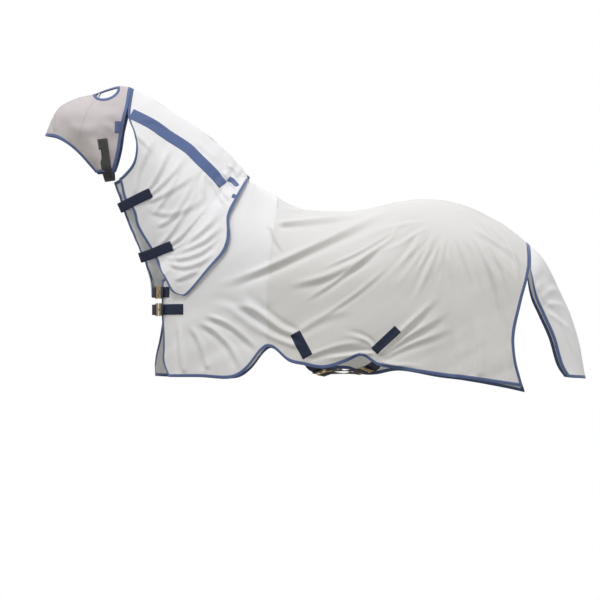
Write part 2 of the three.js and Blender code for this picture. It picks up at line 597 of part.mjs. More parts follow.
function wrap(grid, line, front, width, cover, keep, from = 1) {
  const skin = layer(grid, 0, CLOTH);
  const sides = line.map(([x, z]) => new THREE.Vector3(x, skinAt(skin, x, z), z));
  const far = sides.slice(from).map((p) => new THREE.Vector3(p.x, -p.y, p.z)).reverse();
  const track = new THREE.CatmullRomCurve3([...sides, ...front, ...far], false, "centripetal");
  const points = track.getSpacedPoints(20);
  const middle = new THREE.Vector3(line[0][0], 0, line[0][1]);
  const outward = points.map((p) => p.clone().sub(middle).normalize());
  const lifted = points.map((p, i) => p.clone().addScaledVector(outward[i], 4.5));
  const under = layer(grid, -40, cover).add(mirror(layer(grid, -40, TAPE.over + GAP)));
  return ribbon(lifted, outward, width, -6.5, 2.5).subtract(under).subtract(keep);
}

function pad(grid, line, width) {
  return layer(grid, CLOTH + GAP, CLOTH + 1.6).intersect(prismY(strip(line, width, 2)));
}

function throat(x, z) {
  return [new THREE.Vector3(x, 0, z)];
}

const neckKeep = layer(neckGrid, -12, CLOTH + GAP);
const maskSkin = layer(maskGrid, -22, TAPE.over + GAP + 0.1);
const maskKeep = maskSkin.add(maskSkin.translate([0, 0, -0.6])).add(maskSkin.translate([0, -0.4, 24]));
add("upper_tab_pad", pad(neckGrid, [[-462, -42], [-510, -62]], 46), COLOUR.webbing, neck);
add("upper_neck_tab", wrap(neckGrid, UPPER_TAB, throat(-612, -108), 50, CLOTH + 1.6 + GAP, neckKeep), COLOUR.webbing, neck);
add("lower_tab_pad", pad(neckGrid, [[-362, -288], [-405, -303]], 46), COLOUR.webbing, neck);
add("lower_neck_tab", wrap(neckGrid, LOWER_TAB, throat(-516, -340), 50, CLOTH + 1.6 + GAP, neckKeep), COLOUR.webbing, neck);
const cheek = sheetGrid(maskGrid.points.map((_, i) => i / 9), maskRows.map((v) => v).reverse(),
  (u, v) => maskPoint(1 - u, v).multiply(new THREE.Vector3(1, -1, 1)));
add("mask_strap_pad", pad(cheek, [[-688, 208], [-682, 160]], 44), COLOUR.charcoal, mask);
add("mask_strap", wrap(cheek, MASK_STRAP, throat(-660, 22), 48, CLOTH + 1.6 + GAP, maskKeep, 2), COLOUR.charcoal, mask);
const tag = layer(cheek, TAPE.over + GAP, TAPE.over + GAP + 1).intersect(block(-630, -602, -300, 0, 233, 292));
add("mask_tag", tag, COLOUR.tape, mask);

export default group;
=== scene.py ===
import math

import bmesh
import bpy
import numpy as np
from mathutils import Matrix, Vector


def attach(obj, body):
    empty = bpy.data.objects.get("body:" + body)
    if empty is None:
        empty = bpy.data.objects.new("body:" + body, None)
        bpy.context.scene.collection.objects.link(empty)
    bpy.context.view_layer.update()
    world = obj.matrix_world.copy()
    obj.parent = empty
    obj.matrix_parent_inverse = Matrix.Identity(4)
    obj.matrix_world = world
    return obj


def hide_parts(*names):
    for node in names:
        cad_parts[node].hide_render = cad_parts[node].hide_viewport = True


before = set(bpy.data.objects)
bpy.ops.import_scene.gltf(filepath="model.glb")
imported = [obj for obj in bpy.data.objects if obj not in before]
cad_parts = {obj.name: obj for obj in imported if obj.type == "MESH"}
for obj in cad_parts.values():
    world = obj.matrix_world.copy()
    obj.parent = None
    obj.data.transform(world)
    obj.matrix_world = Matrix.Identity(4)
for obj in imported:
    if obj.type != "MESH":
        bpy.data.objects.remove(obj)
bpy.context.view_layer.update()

# Sizes below are millimetres unless a comment says otherwise; meshes are written in metres.
CAMERA = {"distance": 14.0, "azimuth": -1.5, "elevation": -1.2, "across": 2.75,
          "target": (0.231, -0.20, -0.542)}
LIGHT = {"sky": 0.74, "ground": 0.32, "key": 148.0, "fill": 30.0, "rear": 44.0, "off": 62.0,
         "above": (0.975, 0.97, 1.0), "below": (1.0, 0.955, 0.80)}
RUG = {"cell": 5.5, "fold": 1.12, "slim": 0.62, "flutter": 1.0, "cloth": 0.9, "tape": 15.0, "tapeThick": 1.25}
NECK = {"cell": 5.5, "fold": 0.95, "slim": 0.68, "cloth": 0.9, "tape": 14.0, "band": 50.0}
MASK = {"cell": 6.0, "fold": 1.0, "cloth": 0.8, "tape": 13.0, "ring": 12.0}
FLAP = {"cell": 6.0, "fold": 1.3, "tape": 14.0}
WEB = {"width": 49.0, "thick": 1.8}
TAB = {"width": 47.0, "thick": 2.0, "lift": 5.4}

chestStart, chestLength, chestPower = -200.0, 245.0, 1.2
degree = 4.3
topline = [[-445, -150], [-330, -60], [-200, 0], [-110, 22], [-19, 19], [46, -20], [106, -51], [184, -97],
           [249, -119], [353, -126], [483, -123], [581, -106], [678, -83], [787, -70], [829, -70], [926, -83],
           [1018, -110], [1111, -157], [1187, -200], [1290, -284]]
halfWidth = [[-445, 215], [-200, 215], [0, 238], [200, 280], [450, 315], [650, 320], [850, 304], [1050, 290],
             [1200, 250], [1290, 205]]
widestLine = [[-445, -540], [-200, -520], [0, -515], [200, -480], [450, -470], [650, -480], [850, -440],
              [1050, -430], [1200, -470], [1290, -500]]
peakLine = [[-445, 1], [-100, 1.15], [60, 1.3], [300, 1.05], [700, 0.95], [1000, 0.88], [1290, 0.95]]
neckline = [[-520, -474], [-440, -462], [-370, -418], [-290, -318], [-200, -200], [-120, -100], [-62, -24],
            [-30, 30]]
nearHem = [[-520, -880], [-410, -893], [-232, -895], [-75, -899], [-17, -863], [54, -775], [80, -759],
           [113, -766], [184, -824], [249, -840], [341, -855], [447, -824], [512, -797], [552, -818],
           [589, -842], [682, -858], [880, -889], [992, -902], [1239, -938]]
offHem = nearHem[:9] + [[249, -842], [341, -858], [447, -860], [520, -884], [577, -884], [682, -866],
                        [880, -898], [992, -912], [1200, -950], [1272, -966]]
nearRear = [[1245, -938], [1212, -800], [1210, -700], [1245, -545], [1281, -402], [1284, -272]]
offRear = [[1278, -966], [1240, -840], [1222, -700], [1245, -545], [1281, -402], [1284, -272]]
seamLine = [[132, 60], [123, -115], [100, -270], [87, -402], [82, -560], [83, -753], [83, -1100]]
nearFront = [[-98, 300], [-98, -480], [-96, -600], [-104, -720], [-108, -830], [-140, -893], [-190, -1000]]
offFront = [[-86, 300], [-86, -480], [-84, -609], [-48, -740], [2, -835], [48, -893], [100, -1000]]
crest = [[-562, 450], [-478, 410], [-358, 330], [-223, 243], [-103, 139], [-50, 80], [-8, 33]]
throat = [[-640, 10], [-600, -110], [-560, -215], [-515, -310], [-484, -400], [-470, -460], [-466, -524]]
faceEdge = [[-562, 450], [-569, 314], [-541, 235], [-530, 171], [-545, 99], [-593, 43], [-640, 10]]
shoulderEdge = [[-8, 33], [-35, -25], [-63, -84], [-95, -160], [-91, -252], [-111, -315], [-183, -399],
                [-263, -491], [-302, -523], [-380, -526], [-466, -524]]
nearThroat = [[-609, 12], [-589, -69], [-550, -120], [-530, -196], [-478, -284], [-442, -347], [-422, -395],
              [-382, -459], [-350, -507], [-302, -523]]
neckWidth = [[0, 92], [0.35, 100], [0.7, 128], [1, 150]]
bandLine = [[-556, 326], [-470, 282], [-390, 228], [-294, 165], [-225, 98], [-167, 40], [-127, -6]]
brow = [[-562.2, 452.6], [-612, 461], [-675, 445], [-732, 424], [-817, 403], [-897, 361], [-930, 310],
        [-963, 228]]
jaw = [[-637, 63], [-680, 56], [-722, 52]]
poll = [[-562.2, 452.6], [-572, 361], [-594, 270], [-610, 164], [-626, 95], [-637, 63]]
nose = [[-963, 228], [-913, 220], [-860, 191], [-785, 127], [-722, 52]]
maskWidth = [[0, 84], [0.35, 104], [0.6, 116], [1, 80]]
ear = {"x": -676.0, "z": 436.0, "long": 54.0, "high": 36.0, "tilt": 0.3, "apart": 16.0}
flapBack = [[1285.4, -280], [1349, -350], [1446, -532], [1511, -720], [1547, -902]]
flapEdge = [[1285.4, -404], [1307, -525], [1343, -610], [1388, -713], [1427, -844], [1460, -895]]
flapWidth = [[0, 184], [0.3, 172], [0.6, 158], [1, 140]]
frontPatch, rearPatch = [[210, -694], [269, -802]], [[678, -676], [572, -776]]
chestStrap = {"upper": (-504.0, -372.0), "lower": (-584.0, -305.0)}
upperTab = [[-468, -44], [-520, -67], [-571, -90]]
lowerTab = [[-366, -289], [-414, -306], [-462, -324]]
maskTab = [[-686, 205], [-677, 130], [-668, 66]]


# A table of (x, value) read as a smooth cubic through its points.
def along(table, x):
    xs, ys = np.array(table, float).T
    x = np.clip(x, xs[0], xs[-1])
    i = np.clip(np.searchsorted(xs, x, side="right") - 1, 0, len(xs) - 2)
    slope = np.empty_like(ys)
    slope[1:-1] = (ys[2:] - ys[:-2]) / (xs[2:] - xs[:-2])
    slope[0] = (ys[1] - ys[0]) / (xs[1] - xs[0])
    slope[-1] = (ys[-1] - ys[-2]) / (xs[-1] - xs[-2])
    span = xs[i + 1] - xs[i]
    t = (x - xs[i]) / span
    rise = (1 + 2 * t) * (1 - t) ** 2 * ys[i] + t * (1 - t) ** 2 * span * slope[i]
    return rise + t * t * (3 - 2 * t) * ys[i + 1] + t * t * (t - 1) * span * slope[i + 1]


# A centripetal Catmull-Rom curve through the points, read by its share of length.
def curve(points, dense=24):
    p = np.array(points, float)
    p = np.vstack([2 * p[0] - p[1], p, 2 * p[-1] - p[-2]])
    out = []
    t = np.linspace(0, 1, dense, endpoint=False)[:, None]
    for k in range(1, len(p) - 2):
        d = [max(np.linalg.norm(p[k + j] - p[k + j - 1]) ** 0.5, 1e-4) for j in range(3)]
        slope = (p[k + 1] - p[k]) / d[1]
        before, after = (p[k] - p[k - 1]) / d[0], (p[k + 2] - p[k + 1]) / d[2]
        m1 = (before - (p[k + 1] - p[k - 1]) / (d[0] + d[1]) + slope) * d[1]
        m2 = (slope - (p[k + 2] - p[k]) / (d[1] + d[2]) + after) * d[1]
        a = 2 * p[k] - 2 * p[k + 1] + m1 + m2
        b = -3 * p[k] + 3 * p[k + 1] - 2 * m1 - m2
        out.append(a * t**3 + b * t**2 + m1 * t + p[k])
    line = np.vstack([*out, p[-2][None]])
    run = runOf(line)

    def at(share):
        s = np.clip(np.asarray(share, float), 0, 1) * run[-1]
        return np.stack([np.interp(s, run, line[:, k]) for k in range(line.shape[1])], axis=-1)

    at.length = run[-1]
    at.line = line
    return at


def spaced(points, count):
    return curve(points)(np.linspace(0, 1, count))


# The distance along a line of points, from its first point.
def runOf(points):
    return np.concatenate([[0], np.cumsum(np.linalg.norm(np.diff(points, axis=0), axis=-1))])


def unit(v):
    return v / np.maximum(np.linalg.norm(v, axis=-1, keepdims=True), 1e-9)


def smoothstep(a, b, x):
    t = np.clip((x - a) / (b - a), 0, 1)
    return t * t * (3 - 2 * t)


# A height map over the side view, in millimetres, that the folds are drawn into.
class Relief:
    def __init__(self, x0, x1, z0, z1, step=4.0, seed=1):
        self.x = np.arange(x0, x1 + step, step)
        self.z = np.arange(z0, z1 + step, step)
        self.step = step
        self.X, self.Z = np.meshgrid(self.x, self.z, indexing="ij")
        self.h = np.zeros_like(self.X)
        self.rng = np.random.default_rng(seed)

    # height(s) = exp(-(s/w)^2) - dip * exp(-((s + 1.8w)/1.2w)^2), s being the signed distance from the line
    def fold(self, points, height, width, dip=0.7, start=0.25, end=0.25, wide=1.0):
        at = curve(points)
        count = max(int(at.length / 9), 8)
        t = np.linspace(0, 1, count)
        line = at(t)
        way = unit(np.gradient(line, axis=0))
        reach = width * 4.5
        low, high = line.min(0) - reach, line.max(0) + reach
        near = (self.X > low[0]) & (self.X < high[0]) & (self.Z > low[1]) & (self.Z < high[1])
        px, pz = self.X[near], self.Z[near]
        dx = px[:, None] - line[None, :, 0]
        dz = pz[:, None] - line[None, :, 1]
        k = np.argmin(dx * dx + dz * dz, axis=1)
        row = np.arange(len(k))
        ahead = dx[row, k] * way[k, 0] + dz[row, k] * way[k, 1]
        side = dx[row, k] * -way[k, 1] + dz[row, k] * way[k, 0]
        share = np.clip(t[k] + ahead / at.length, -0.2, 1.2)
        taper = smoothstep(-0.02, start, share) * smoothstep(1.02, 1 - end, share)
        w = width * (1 + (wide - 1) * np.clip(share, 0, 1))
        shape = np.exp(-((side / w) ** 2)) - dip * np.exp(-(((side + 1.8 * w) / (1.2 * w)) ** 2))
        self.h[near] += height * taper * shape

    # Soft noise with its own length along and across a direction.
    def ripple(self, height, longways, crossways, angle, mask=1.0):
        white = self.rng.standard_normal(self.X.shape)
        fx = np.fft.fftfreq(len(self.x), self.step)[:, None]
        fz = np.fft.fftfreq(len(self.z), self.step)[None, :]
        c, s = math.cos(math.radians(angle)), math.sin(math.radians(angle))
        a, b = fx * c + fz * s, -fx * s + fz * c
        low = np.exp(-((a * longways) ** 2 + (b * crossways) ** 2) * 3.2)
        band = 1 - np.exp(-((a * longways) ** 2 + (b * crossways) ** 2) * 14)
        soft = np.fft.ifft2(np.fft.fft2(white) * low * band).real
        self.h += height * soft / soft.std() * mask

    def read(self, x, z):
        i = np.clip((x - self.x[0]) / self.step, 0, len(self.x) - 1.001)
        j = np.clip((z - self.z[0]) / self.step, 0, len(self.z) - 1.001)
        a, b = i.astype(int), j.astype(int)
        s, t = i - a, j - b
        h = self.h
        low = (1 - s) * h[a, b] + s * h[a + 1, b]
        return (1 - t) * low + t * ((1 - s) * h[a, b + 1] + s * h[a + 1, b + 1])


# A surface is read at (a, b) shares; its points are (..., 3), and relief pushes it out along its normal.
def normalOf(at, a, b, e=0.002):
    across = at(np.clip(a + e, 0, 1), b) - at(np.clip(a - e, 0, 1), b)
    down = at(a, np.clip(b + e, 0, 1)) - at(a, np.clip(b - e, 0, 1))
    return unit(np.cross(across, down))


def raised(base, height, flip=1.0):
    def at(a, b):
        return base(a, b) + flip * normalOf(base, a, b) * height(a, b)[..., None]

    at.flip = flip
    return at


def mirrored(at):
    def other(a, b):
        return at(a, b) * np.array([1.0, -1.0, 1.0])

    other.flip = -at.flip
    return other


# The rug: x runs to the tail; q is the distance round the chest and then along the side.
def stationX(q):
    angle = np.radians(90 + np.minimum(q, 0) / degree)
    return np.where(q < 0, chestStart - chestLength * np.cos(angle), q + chestStart)


def stationOf(x):
    angle = np.degrees(np.arccos(np.clip((chestStart - x) / chestLength, -1, 1)))
    return np.where(x < chestStart, (angle - 90) * degree, x - chestStart)


# y = -W * turn * (1 - s^2)^(peak / 2), where s = (z - widest) / (top - widest)
# and turn = sin(angle)^1.2 round the chest.
def rugSkin(q, z):
    x = stationX(q)
    angle = np.radians(90 + np.minimum(q, 0) / degree)
    turn = np.where(q < 0, np.sign(angle) * np.abs(np.sin(angle)) ** chestPower, 1.0)
    top, widest, peak = along(topline, x), along(widestLine, x), along(peakLine, x)
    s = np.clip((z - widest) / (top - widest), 0, 1)
    drop = np.clip((widest - z) / (widest + 1010), 0, 1.2)
    y = -along(halfWidth, x) * turn * (1 - s * s) ** (peak / 2) * (1 + 0.02 * drop)
    return np.stack([x, y, z], axis=-1)


# The rug's half width at a place in the side view.
def rugHalf(x, z):
    top, widest = along(topline, x), along(widestLine, x)
    s = np.clip((z - widest) / (top - widest), 0, 1)
    turn = np.clip((chestStart - x) / chestLength, 0, 1)
    chest = (1 - turn * turn) ** (chestPower / 2)
    return along(halfWidth, x) * chest * (1 - s * s) ** (along(peakLine, x) / 2)


# A curve read by one of its axes, which it must not double back on.
def monotone(points, axis, count=400):
    line = spaced(points, count)
    order = np.argsort(line[:, axis], kind="stable")
    line = line[order]
    return lambda value: np.interp(value, line[:, axis], line[:, 1 - axis])


# The chest edges are drawn in the front view, as (y, z).
# Their station comes from solving the chest's own curve.
def frontStation(edge):
    yAt = monotone(edge, 1)

    def at(z):
        y = yAt(z)
        angle = np.full_like(z, 0.5)
        for _ in range(12):
            width = along(halfWidth, chestStart - chestLength * np.cos(angle))
            turn = -y / width
            angle = np.sign(turn) * np.arcsin(np.clip(np.abs(turn), 0, 0.99) ** (1 / chestPower))
        return (np.degrees(angle) - 90) * degree

    return at


quarter = 520.0  # length given to the turn from the widest line up to the top


class RugSide:
    def __init__(self, hem, rear, front):
        self.hemAt = monotone(hem, 0)
        self.rearAt = monotone(rear, 1)
        self.frontAt = frontStation(front)
        self.seamAt = monotone(seamLine, 1)
        self.neckAt = monotone(neckline, 0)
        self.x = np.linspace(-470, 1300, 900)
        rough = self.startOf(self.x)
        padded = np.concatenate([np.full(45, rough[0]), rough, np.full(45, rough[-1])])
        self.soft = np.convolve(padded, np.hanning(91) / np.hanning(91).sum(), "valid")

    def startOf(self, x):
        top, widest = along(topline, x), along(widestLine, x)
        start = np.where(x < -30, self.neckAt(x), top)
        return np.arccos(np.clip((start - widest) / (top - widest), -1, 1)) / (math.pi / 2) * quarter

    # rho(b) = soft + (hem - soft) * b + (exact - soft) * (1 - b)^8,
    # so the rows below the neckline's corner run evenly.
    def level(self, q, b):
        x = stationX(q)
        top, widest = along(topline, x), along(widestLine, x)
        soft = np.interp(x, self.x, self.soft)
        rho1 = quarter + widest - self.hemAt(x)
        rho = soft + (rho1 - soft) * b + (self.startOf(x) - soft) * (1 - b) ** 8
        upper = widest + (top - widest) * np.cos(rho / quarter * math.pi / 2)
        return np.where(rho < quarter, upper, widest - (rho - quarter))

    def solve(self, b, station):
        q = np.full_like(b, {"front": -300.0, "seam": 300.0, "rear": 1480.0}[station])
        for _ in range(8):
            z = self.level(q, b)
            if station == "front":
                q = self.frontAt(z)
            elif station == "seam":
                q = self.seamAt(z) - chestStart
            else:
                q = self.rearAt(z) - chestStart
        return q

    def prepare(self):
        self.b = np.linspace(0, 1, 241)
        self.q = {k: self.solve(self.b, k) for k in ("front", "seam", "rear")}

    def place(self, a, b, start, end):
        q0 = np.interp(b, self.b, self.q[start])
        q1 = np.interp(b, self.b, self.q[end])
        q = q0 + (q1 - q0) * a
        return q, self.level(q, b)

    def surface(self, start, end, relief):
        def base(a, b):
            return rugSkin(*self.place(a, b, start, end))

        def height(a, b):
            q, z = self.place(a, b, start, end)
            return relief.read(q + chestStart, z)

        return raised(base, height, -1.0)


# Folds are listed as (points, height, width) in the side view; the valley lies on the lower side.
def rugRelief(near):
    r = Relief(-660, 1320, -1020, 60, seed=11 if near else 12)
    folds = [
        ([[-150, -470], [-60, -446], [80, -392], [288, -300], [483, -208], [613, -142], [700, -110]],
         13, 24, 0.75, 0.3, 0.35),
        ([[171, -480], [353, -434], [516, -357], [645, -262]], 8, 24, 0.7, 0.3, 0.4),
        ([[246, -555], [422, -436], [617, -278], [700, -215]], 6, 15, 0.7, 0.3, 0.4),
        ([[324, -406], [519, -317], [734, -178]], 5, 13, 0.7, 0.3, 0.4),
        ([[300, -640], [480, -520], [660, -370]], 4, 15, 0.6, 0.3, 0.4),
        ([[126, -192], [288, -177], [420, -160], [520, -140]], 12, 17, 0.8, 0.1, 0.5),
        ([[150, -120], [270, -132], [400, -136]], 5, 14, 0.6, 0.3, 0.5),
        ([[100, -200], [125, -270], [165, -330]], 7, 15, 0.6, 0.1, 0.6),
        ([[1055, -162], [1108, -207], [1187, -298], [1219, -376], [1231, -470]], 9, 16, 0.7, 0.2, 0.4),
        ([[1024, -246], [1108, -415], [1154, -571], [1190, -733]], 9, 19, 0.7, 0.2, 0.4),
        ([[1035, -210], [1120, -330], [1170, -450], [1205, -590]], 6, 14, 0.7, 0.3, 0.5),
        ([[980, -240], [1030, -350], [1062, -480]], 5, 15, 0.6, 0.3, 0.5),
        ([[940, -240], [975, -330], [990, -440]], 5, 15, 0.6, 0.3, 0.5),
        ([[894, -245], [880, -330], [850, -450]], 5, 16, 0.6, 0.3, 0.5),
        ([[847, -231], [815, -320], [772, -410]], 6, 15, 0.6, 0.3, 0.5),
        ([[800, -220], [745, -310], [690, -380]], 5, 16, 0.6, 0.3, 0.5),
        ([[840, -330], [805, -430], [770, -520]], 5, 18, 0.6, 0.3, 0.5),
        ([[690, -200], [640, -270], [560, -330]], 4, 16, 0.6, 0.3, 0.5),
        ([[905, -330], [925, -430], [935, -520]], 4, 18, 0.6, 0.3, 0.5),
        ([[1110, -420], [1140, -560], [1172, -700], [1200, -880]], 5, 22, 0.6, 0.4, 0.2),
        ([[1040, -600], [1050, -740], [1052, -890]], 5, 30, 0.6, 0.5, 0.05),
        ([[950, -640], [955, -780], [960, -890]], 4, 30, 0.6, 0.5, 0.05),
        ([[592, -792], [680, -700], [796, -590], [870, -520]], 10, 13, 0.9, 0.05, 0.5, 1.8),
        ([[600, -800], [720, -712], [840, -640], [914, -590]], 8, 13, 0.9, 0.05, 0.5, 1.8),
        ([[606, -812], [700, -760], [840, -705], [953, -660]], 6, 14, 0.8, 0.05, 0.5, 1.8),
        ([[575, -770], [545, -735], [500, -715], [420, -700]], 6, 12, 0.8, 0.05, 0.6, 1.6),
        ([[565, -785], [500, -790], [430, -800], [330, -815]], 8, 12, 0.8, 0.05, 0.5, 1.5),
        ([[600, -825], [660, -840], [730, -842], [800, -850]], 6, 12, 0.8, 0.05, 0.6, 1.5),
        ([[270, -800], [350, -770], [440, -745], [540, -742]], 6, 15, 0.7, 0.1, 0.4, 1.5),
        ([[220, -705], [130, -665], [40, -600], [-60, -520]], 8, 20, 0.7, 0.1, 0.4, 1.6),
        ([[240, -760], [130, -720], [20, -660], [-90, -580], [-190, -560]], 8, 20, 0.7, 0.1, 0.4, 1.5),
        ([[225, -690], [300, -640], [400, -600], [500, -590]], 5, 20, 0.6, 0.1, 0.6, 1.6),
        ([[-200, -610], [-100, -650], [-10, -720], [40, -770]], 8, 18, 0.7, 0.2, 0.2),
        ([[-230, -640], [-150, -690], [-70, -780], [-40, -860]], 8, 20, 0.7, 0.2, 0.2),
        ([[-270, -660], [-225, -740], [-190, -860]], 7, 20, 0.7, 0.2, 0.1),
        ([[-330, -640], [-318, -760], [-300, -880]], 6, 22, 0.6, 0.3, 0.1),
        ([[-80, -560], [30, -590], [110, -640], [170, -700]], 6, 22, 0.6, 0.2, 0.3),
    ]
    share = RUG["fold"] * (1 if near else 0.8)
    for points, height, width, *rest in folds:
        r.fold(points, height * share, width * RUG["slim"], *rest)
    fine = np.random.default_rng(31 if near else 32)
    for angle in np.linspace(192, 332, 19):  # fine creases that fan out below the croup
        turn = math.radians(angle + fine.uniform(-3, 3))
        way = np.array([math.cos(turn), math.sin(turn)])
        across = np.array([-way[1], way[0]]) * fine.uniform(-18, 18)
        begin = np.array([915, -150]) + way * fine.uniform(70, 150)
        reach = fine.uniform(230, 430)
        line = [begin, begin + way * reach / 2 + across, begin + way * reach]
        r.fold(line, fine.uniform(2.2, 4.0), 9.0, 0.7, 0.3, 0.6, 1.4)
    lower = smoothstep(-420, -840, r.Z)
    rear = smoothstep(560, 900, r.X)
    r.ripple(2.4, 420, 150, 25, 0.4 + 0.6 * lower)
    r.ripple(3.2 * RUG["flutter"], 520, 105, 92, lower * rear)
    r.ripple(2.6 * RUG["flutter"], 420, 90, 88, lower * smoothstep(150, -150, r.X))
    r.ripple(0.9, 150, 46, 30, 0.35 + 0.65 * lower)
    coverX, coverZ = np.transpose([[-470, -540], [-302, -540], [-183, -420], [-100, -300],
                                   [-60, -90], [-8, 30]])
    covered = smoothstep(30, -30, r.Z - np.interp(r.X, coverX, coverZ))  # 1 under the neck cover
    inside = np.where(r.X < -60, 1 - covered, 0.0)
    r.h *= 1 - 0.9 * inside
    r.h *= np.where(r.X < -8, 0.4 + 0.6 * covered, 1.0)
    r.h = np.clip(r.h, -15, 19)
    r.h *= 1 - 0.85 * smoothstep(-40, 20, r.Z)
    return r


# A patch in the side view, blended from its four edges (a Coons patch).
def coons(top, bottom, start, end):
    a, b, c, d = [curve(k) for k in (top, bottom, start, end)]
    c00, c10, c01, c11 = a(0.0), a(1.0), b(0.0), b(1.0)

    def at(u, v):
        U, V = np.asarray(u)[..., None], np.asarray(v)[..., None]
        edges = (1 - V) * a(u) + V * b(u) + (1 - U) * c(v) + U * d(v)
        return edges - ((1 - U) * (1 - V) * c00 + U * (1 - V) * c10 + (1 - U) * V * c01 + U * V * c11)

    return at


# The neck cover: u runs from the poll to the shoulder, v from the crest to the throat.
neckSide = coons(crest, throat, faceEdge, shoulderEdge)
coverClear = 11.0  # how far the cover lies off the rug


def neckSkin(u, v):
    side = neckSide(u, v)
    x, z = side[..., 0], side[..., 1]
    oval = along(neckWidth, u) * np.sin(math.pi * np.clip(v, 0, 1)) ** 0.8
    below = np.where(x < -30, along(neckline, x) - z, 60)
    over = smoothstep(0, 1, (below + 90) / 75)
    cover = rugHalf(x + coverClear, z - coverClear) + coverClear
    return np.stack([x, -(oval + np.maximum(cover - oval, 0) * over), z], axis=-1)


# The (u, v) of points in the side view, by Newton's method on the patch.
def invert(side, points, u=0.5, v=0.5):
    p = np.array(points, float)
    u, v = np.full(len(p), u), np.full(len(p), v)
    e = 1e-4
    for _ in range(40):
        f = side(u, v) - p
        fu = (side(u + e, v) - side(u - e, v)) / (2 * e)
        fv = (side(u, v + e) - side(u, v - e)) / (2 * e)
        det = fu[:, 0] * fv[:, 1] - fu[:, 1] * fv[:, 0]
        det = np.where(np.abs(det) < 1e-6, 1e-6, det)
        du = (f[:, 0] * fv[:, 1] - f[:, 1] * fv[:, 0]) / det
        dv = (fu[:, 0] * f[:, 1] - fu[:, 1] * f[:, 0]) / det
        u = np.clip(u - np.clip(du, -0.15, 0.15), 0, 1)
        v = np.clip(v - np.clip(dv, -0.15, 0.15), 0, 1)
    return u, v


def neckRelief(near):
    r = Relief(-660, 20, -560, 480, step=3.5, seed=21 if near else 22)
    folds = [
        ([[-505, -62], [-450, 10], [-400, 110], [-372, 190]], 6, 13, 0.7, 0.1, 0.4, 1.6),
        ([[-500, -70], [-420, -10], [-345, 70], [-300, 140]], 6, 13, 0.7, 0.1, 0.4, 1.6),
        ([[-490, -85], [-400, -50], [-320, 0], [-240, 60]], 5, 13, 0.7, 0.1, 0.4, 1.6),
        ([[-540, -50], [-520, 60], [-470, 170], [-440, 230]], 5, 14, 0.6, 0.1, 0.4, 1.6),
        ([[-480, -120], [-380, -140], [-280, -110], [-190, -40]], 5, 16, 0.7, 0.2, 0.3, 1.4),
        ([[-425, -290], [-360, -215], [-300, -120], [-240, -20]], 7, 14, 0.8, 0.1, 0.4, 1.5),
        ([[-405, -300], [-330, -250], [-250, -170], [-170, -70]], 8, 14, 0.8, 0.1, 0.3, 1.4),
        ([[-395, -310], [-300, -280], [-215, -220], [-140, -140]], 8, 14, 0.8, 0.1, 0.3, 1.3),
        ([[-385, -325], [-300, -310], [-210, -270], [-130, -200]], 7, 13, 0.8, 0.1, 0.3, 1.3),
        ([[-390, -345], [-310, -350], [-220, -320], [-130, -240]], 6, 13, 0.8, 0.1, 0.3, 1.2),
        ([[-380, -370], [-300, -390], [-230, -370], [-160, -320]], 6, 14, 0.7, 0.1, 0.3, 1.2),
        ([[-340, -450], [-290, -430], [-230, -400]], 5, 14, 0.7, 0.1, 0.3, 1.2),
        ([[-440, -200], [-370, -160], [-310, -80], [-262, 30]], 6, 15, 0.7, 0.1, 0.4, 1.4),
        ([[-455, -150], [-400, -70], [-350, 20], [-330, 100]], 5, 14, 0.7, 0.2, 0.4, 1.4),
        ([[-190, 30], [-150, -40], [-110, -110]], 7, 13, 0.8, 0.2, 0.2),
        ([[-160, 10], [-120, -50], [-85, -90]], 7, 11, 0.8, 0.2, 0.2),
        ([[-130, 60], [-95, 10], [-60, -40]], 9, 11, 0.9, 0.2, 0.2),
        ([[-105, 90], [-75, 60], [-45, 10]], 9, 9, 0.9, 0.2, 0.2),
        ([[-210, 60], [-220, 0], [-215, -70]], 5, 14, 0.7, 0.2, 0.3),
        ([[-270, 210], [-200, 150], [-140, 95]], 4, 16, 0.6, 0.3, 0.3),
        ([[-520, 300], [-440, 290], [-360, 250]], 3, 18, 0.6, 0.3, 0.3),
        ([[-550, 240], [-490, 190], [-440, 130]], 4, 16, 0.6, 0.2, 0.4),
    ]
    for points, height, width, *rest in folds:
        r.fold(points, height * NECK["fold"], width * NECK["slim"], *rest)
    low = smoothstep(200, -60, r.Z)
    r.ripple(1.8, 260, 70, 55, 0.4 + 0.6 * low)
    r.ripple(0.8, 110, 34, 50, 0.3 + 0.7 * low)
    withers = np.exp(-(((r.X + 95) / 70) ** 2 + ((r.Z - 20) / 90) ** 2))
    r.ripple(2.6, 60, 22, 60, withers)
    r.h = np.clip(r.h, -9, 15) + 1.0
    return r


class NeckSide:
    def __init__(self, near):
        self.near = near
        if near:
            line = spaced(nearThroat, 60)
            u, v = invert(neckSide, line, 0.3, 0.8)
            u[0], u[-1] = 0.0, 1.0
            order = np.argsort(u)
            self.u, self.v = u[order], v[order]
        else:
            self.u, self.v = np.array([0.0, 1.0]), np.array([1.0, 1.0])

    def lower(self, u):
        return np.interp(u, self.u, self.v)

    def share(self, b):
        if self.near:
            return 0.5 * b + 0.5 * (1 - np.cos(b * math.pi / 2))
        return 0.4 * b + 0.3 * (1 - np.cos(b * math.pi))

    def surface(self, relief):
        def base(a, b):
            return neckSkin(a, self.lower(a) * self.share(b))

        def height(a, b):
            side = neckSide(a, self.lower(a) * self.share(b))
            return relief.read(side[..., 0], side[..., 1])

        return raised(base, height, -1.0)


# The mask: u runs from the poll to the nose, w from the near jaw (-1) over the forehead to the off jaw.
maskSide = coons(brow, jaw, poll, nose)


def maskSkin(u, v):
    side = maskSide(u, v)
    half = along(maskWidth, u) * np.sin(np.minimum(v * 2.1, 1) * math.pi / 2) ** 0.7 * (1 - 0.28 * v * v)
    return np.stack([side[..., 0], -half, side[..., 1]], axis=-1)


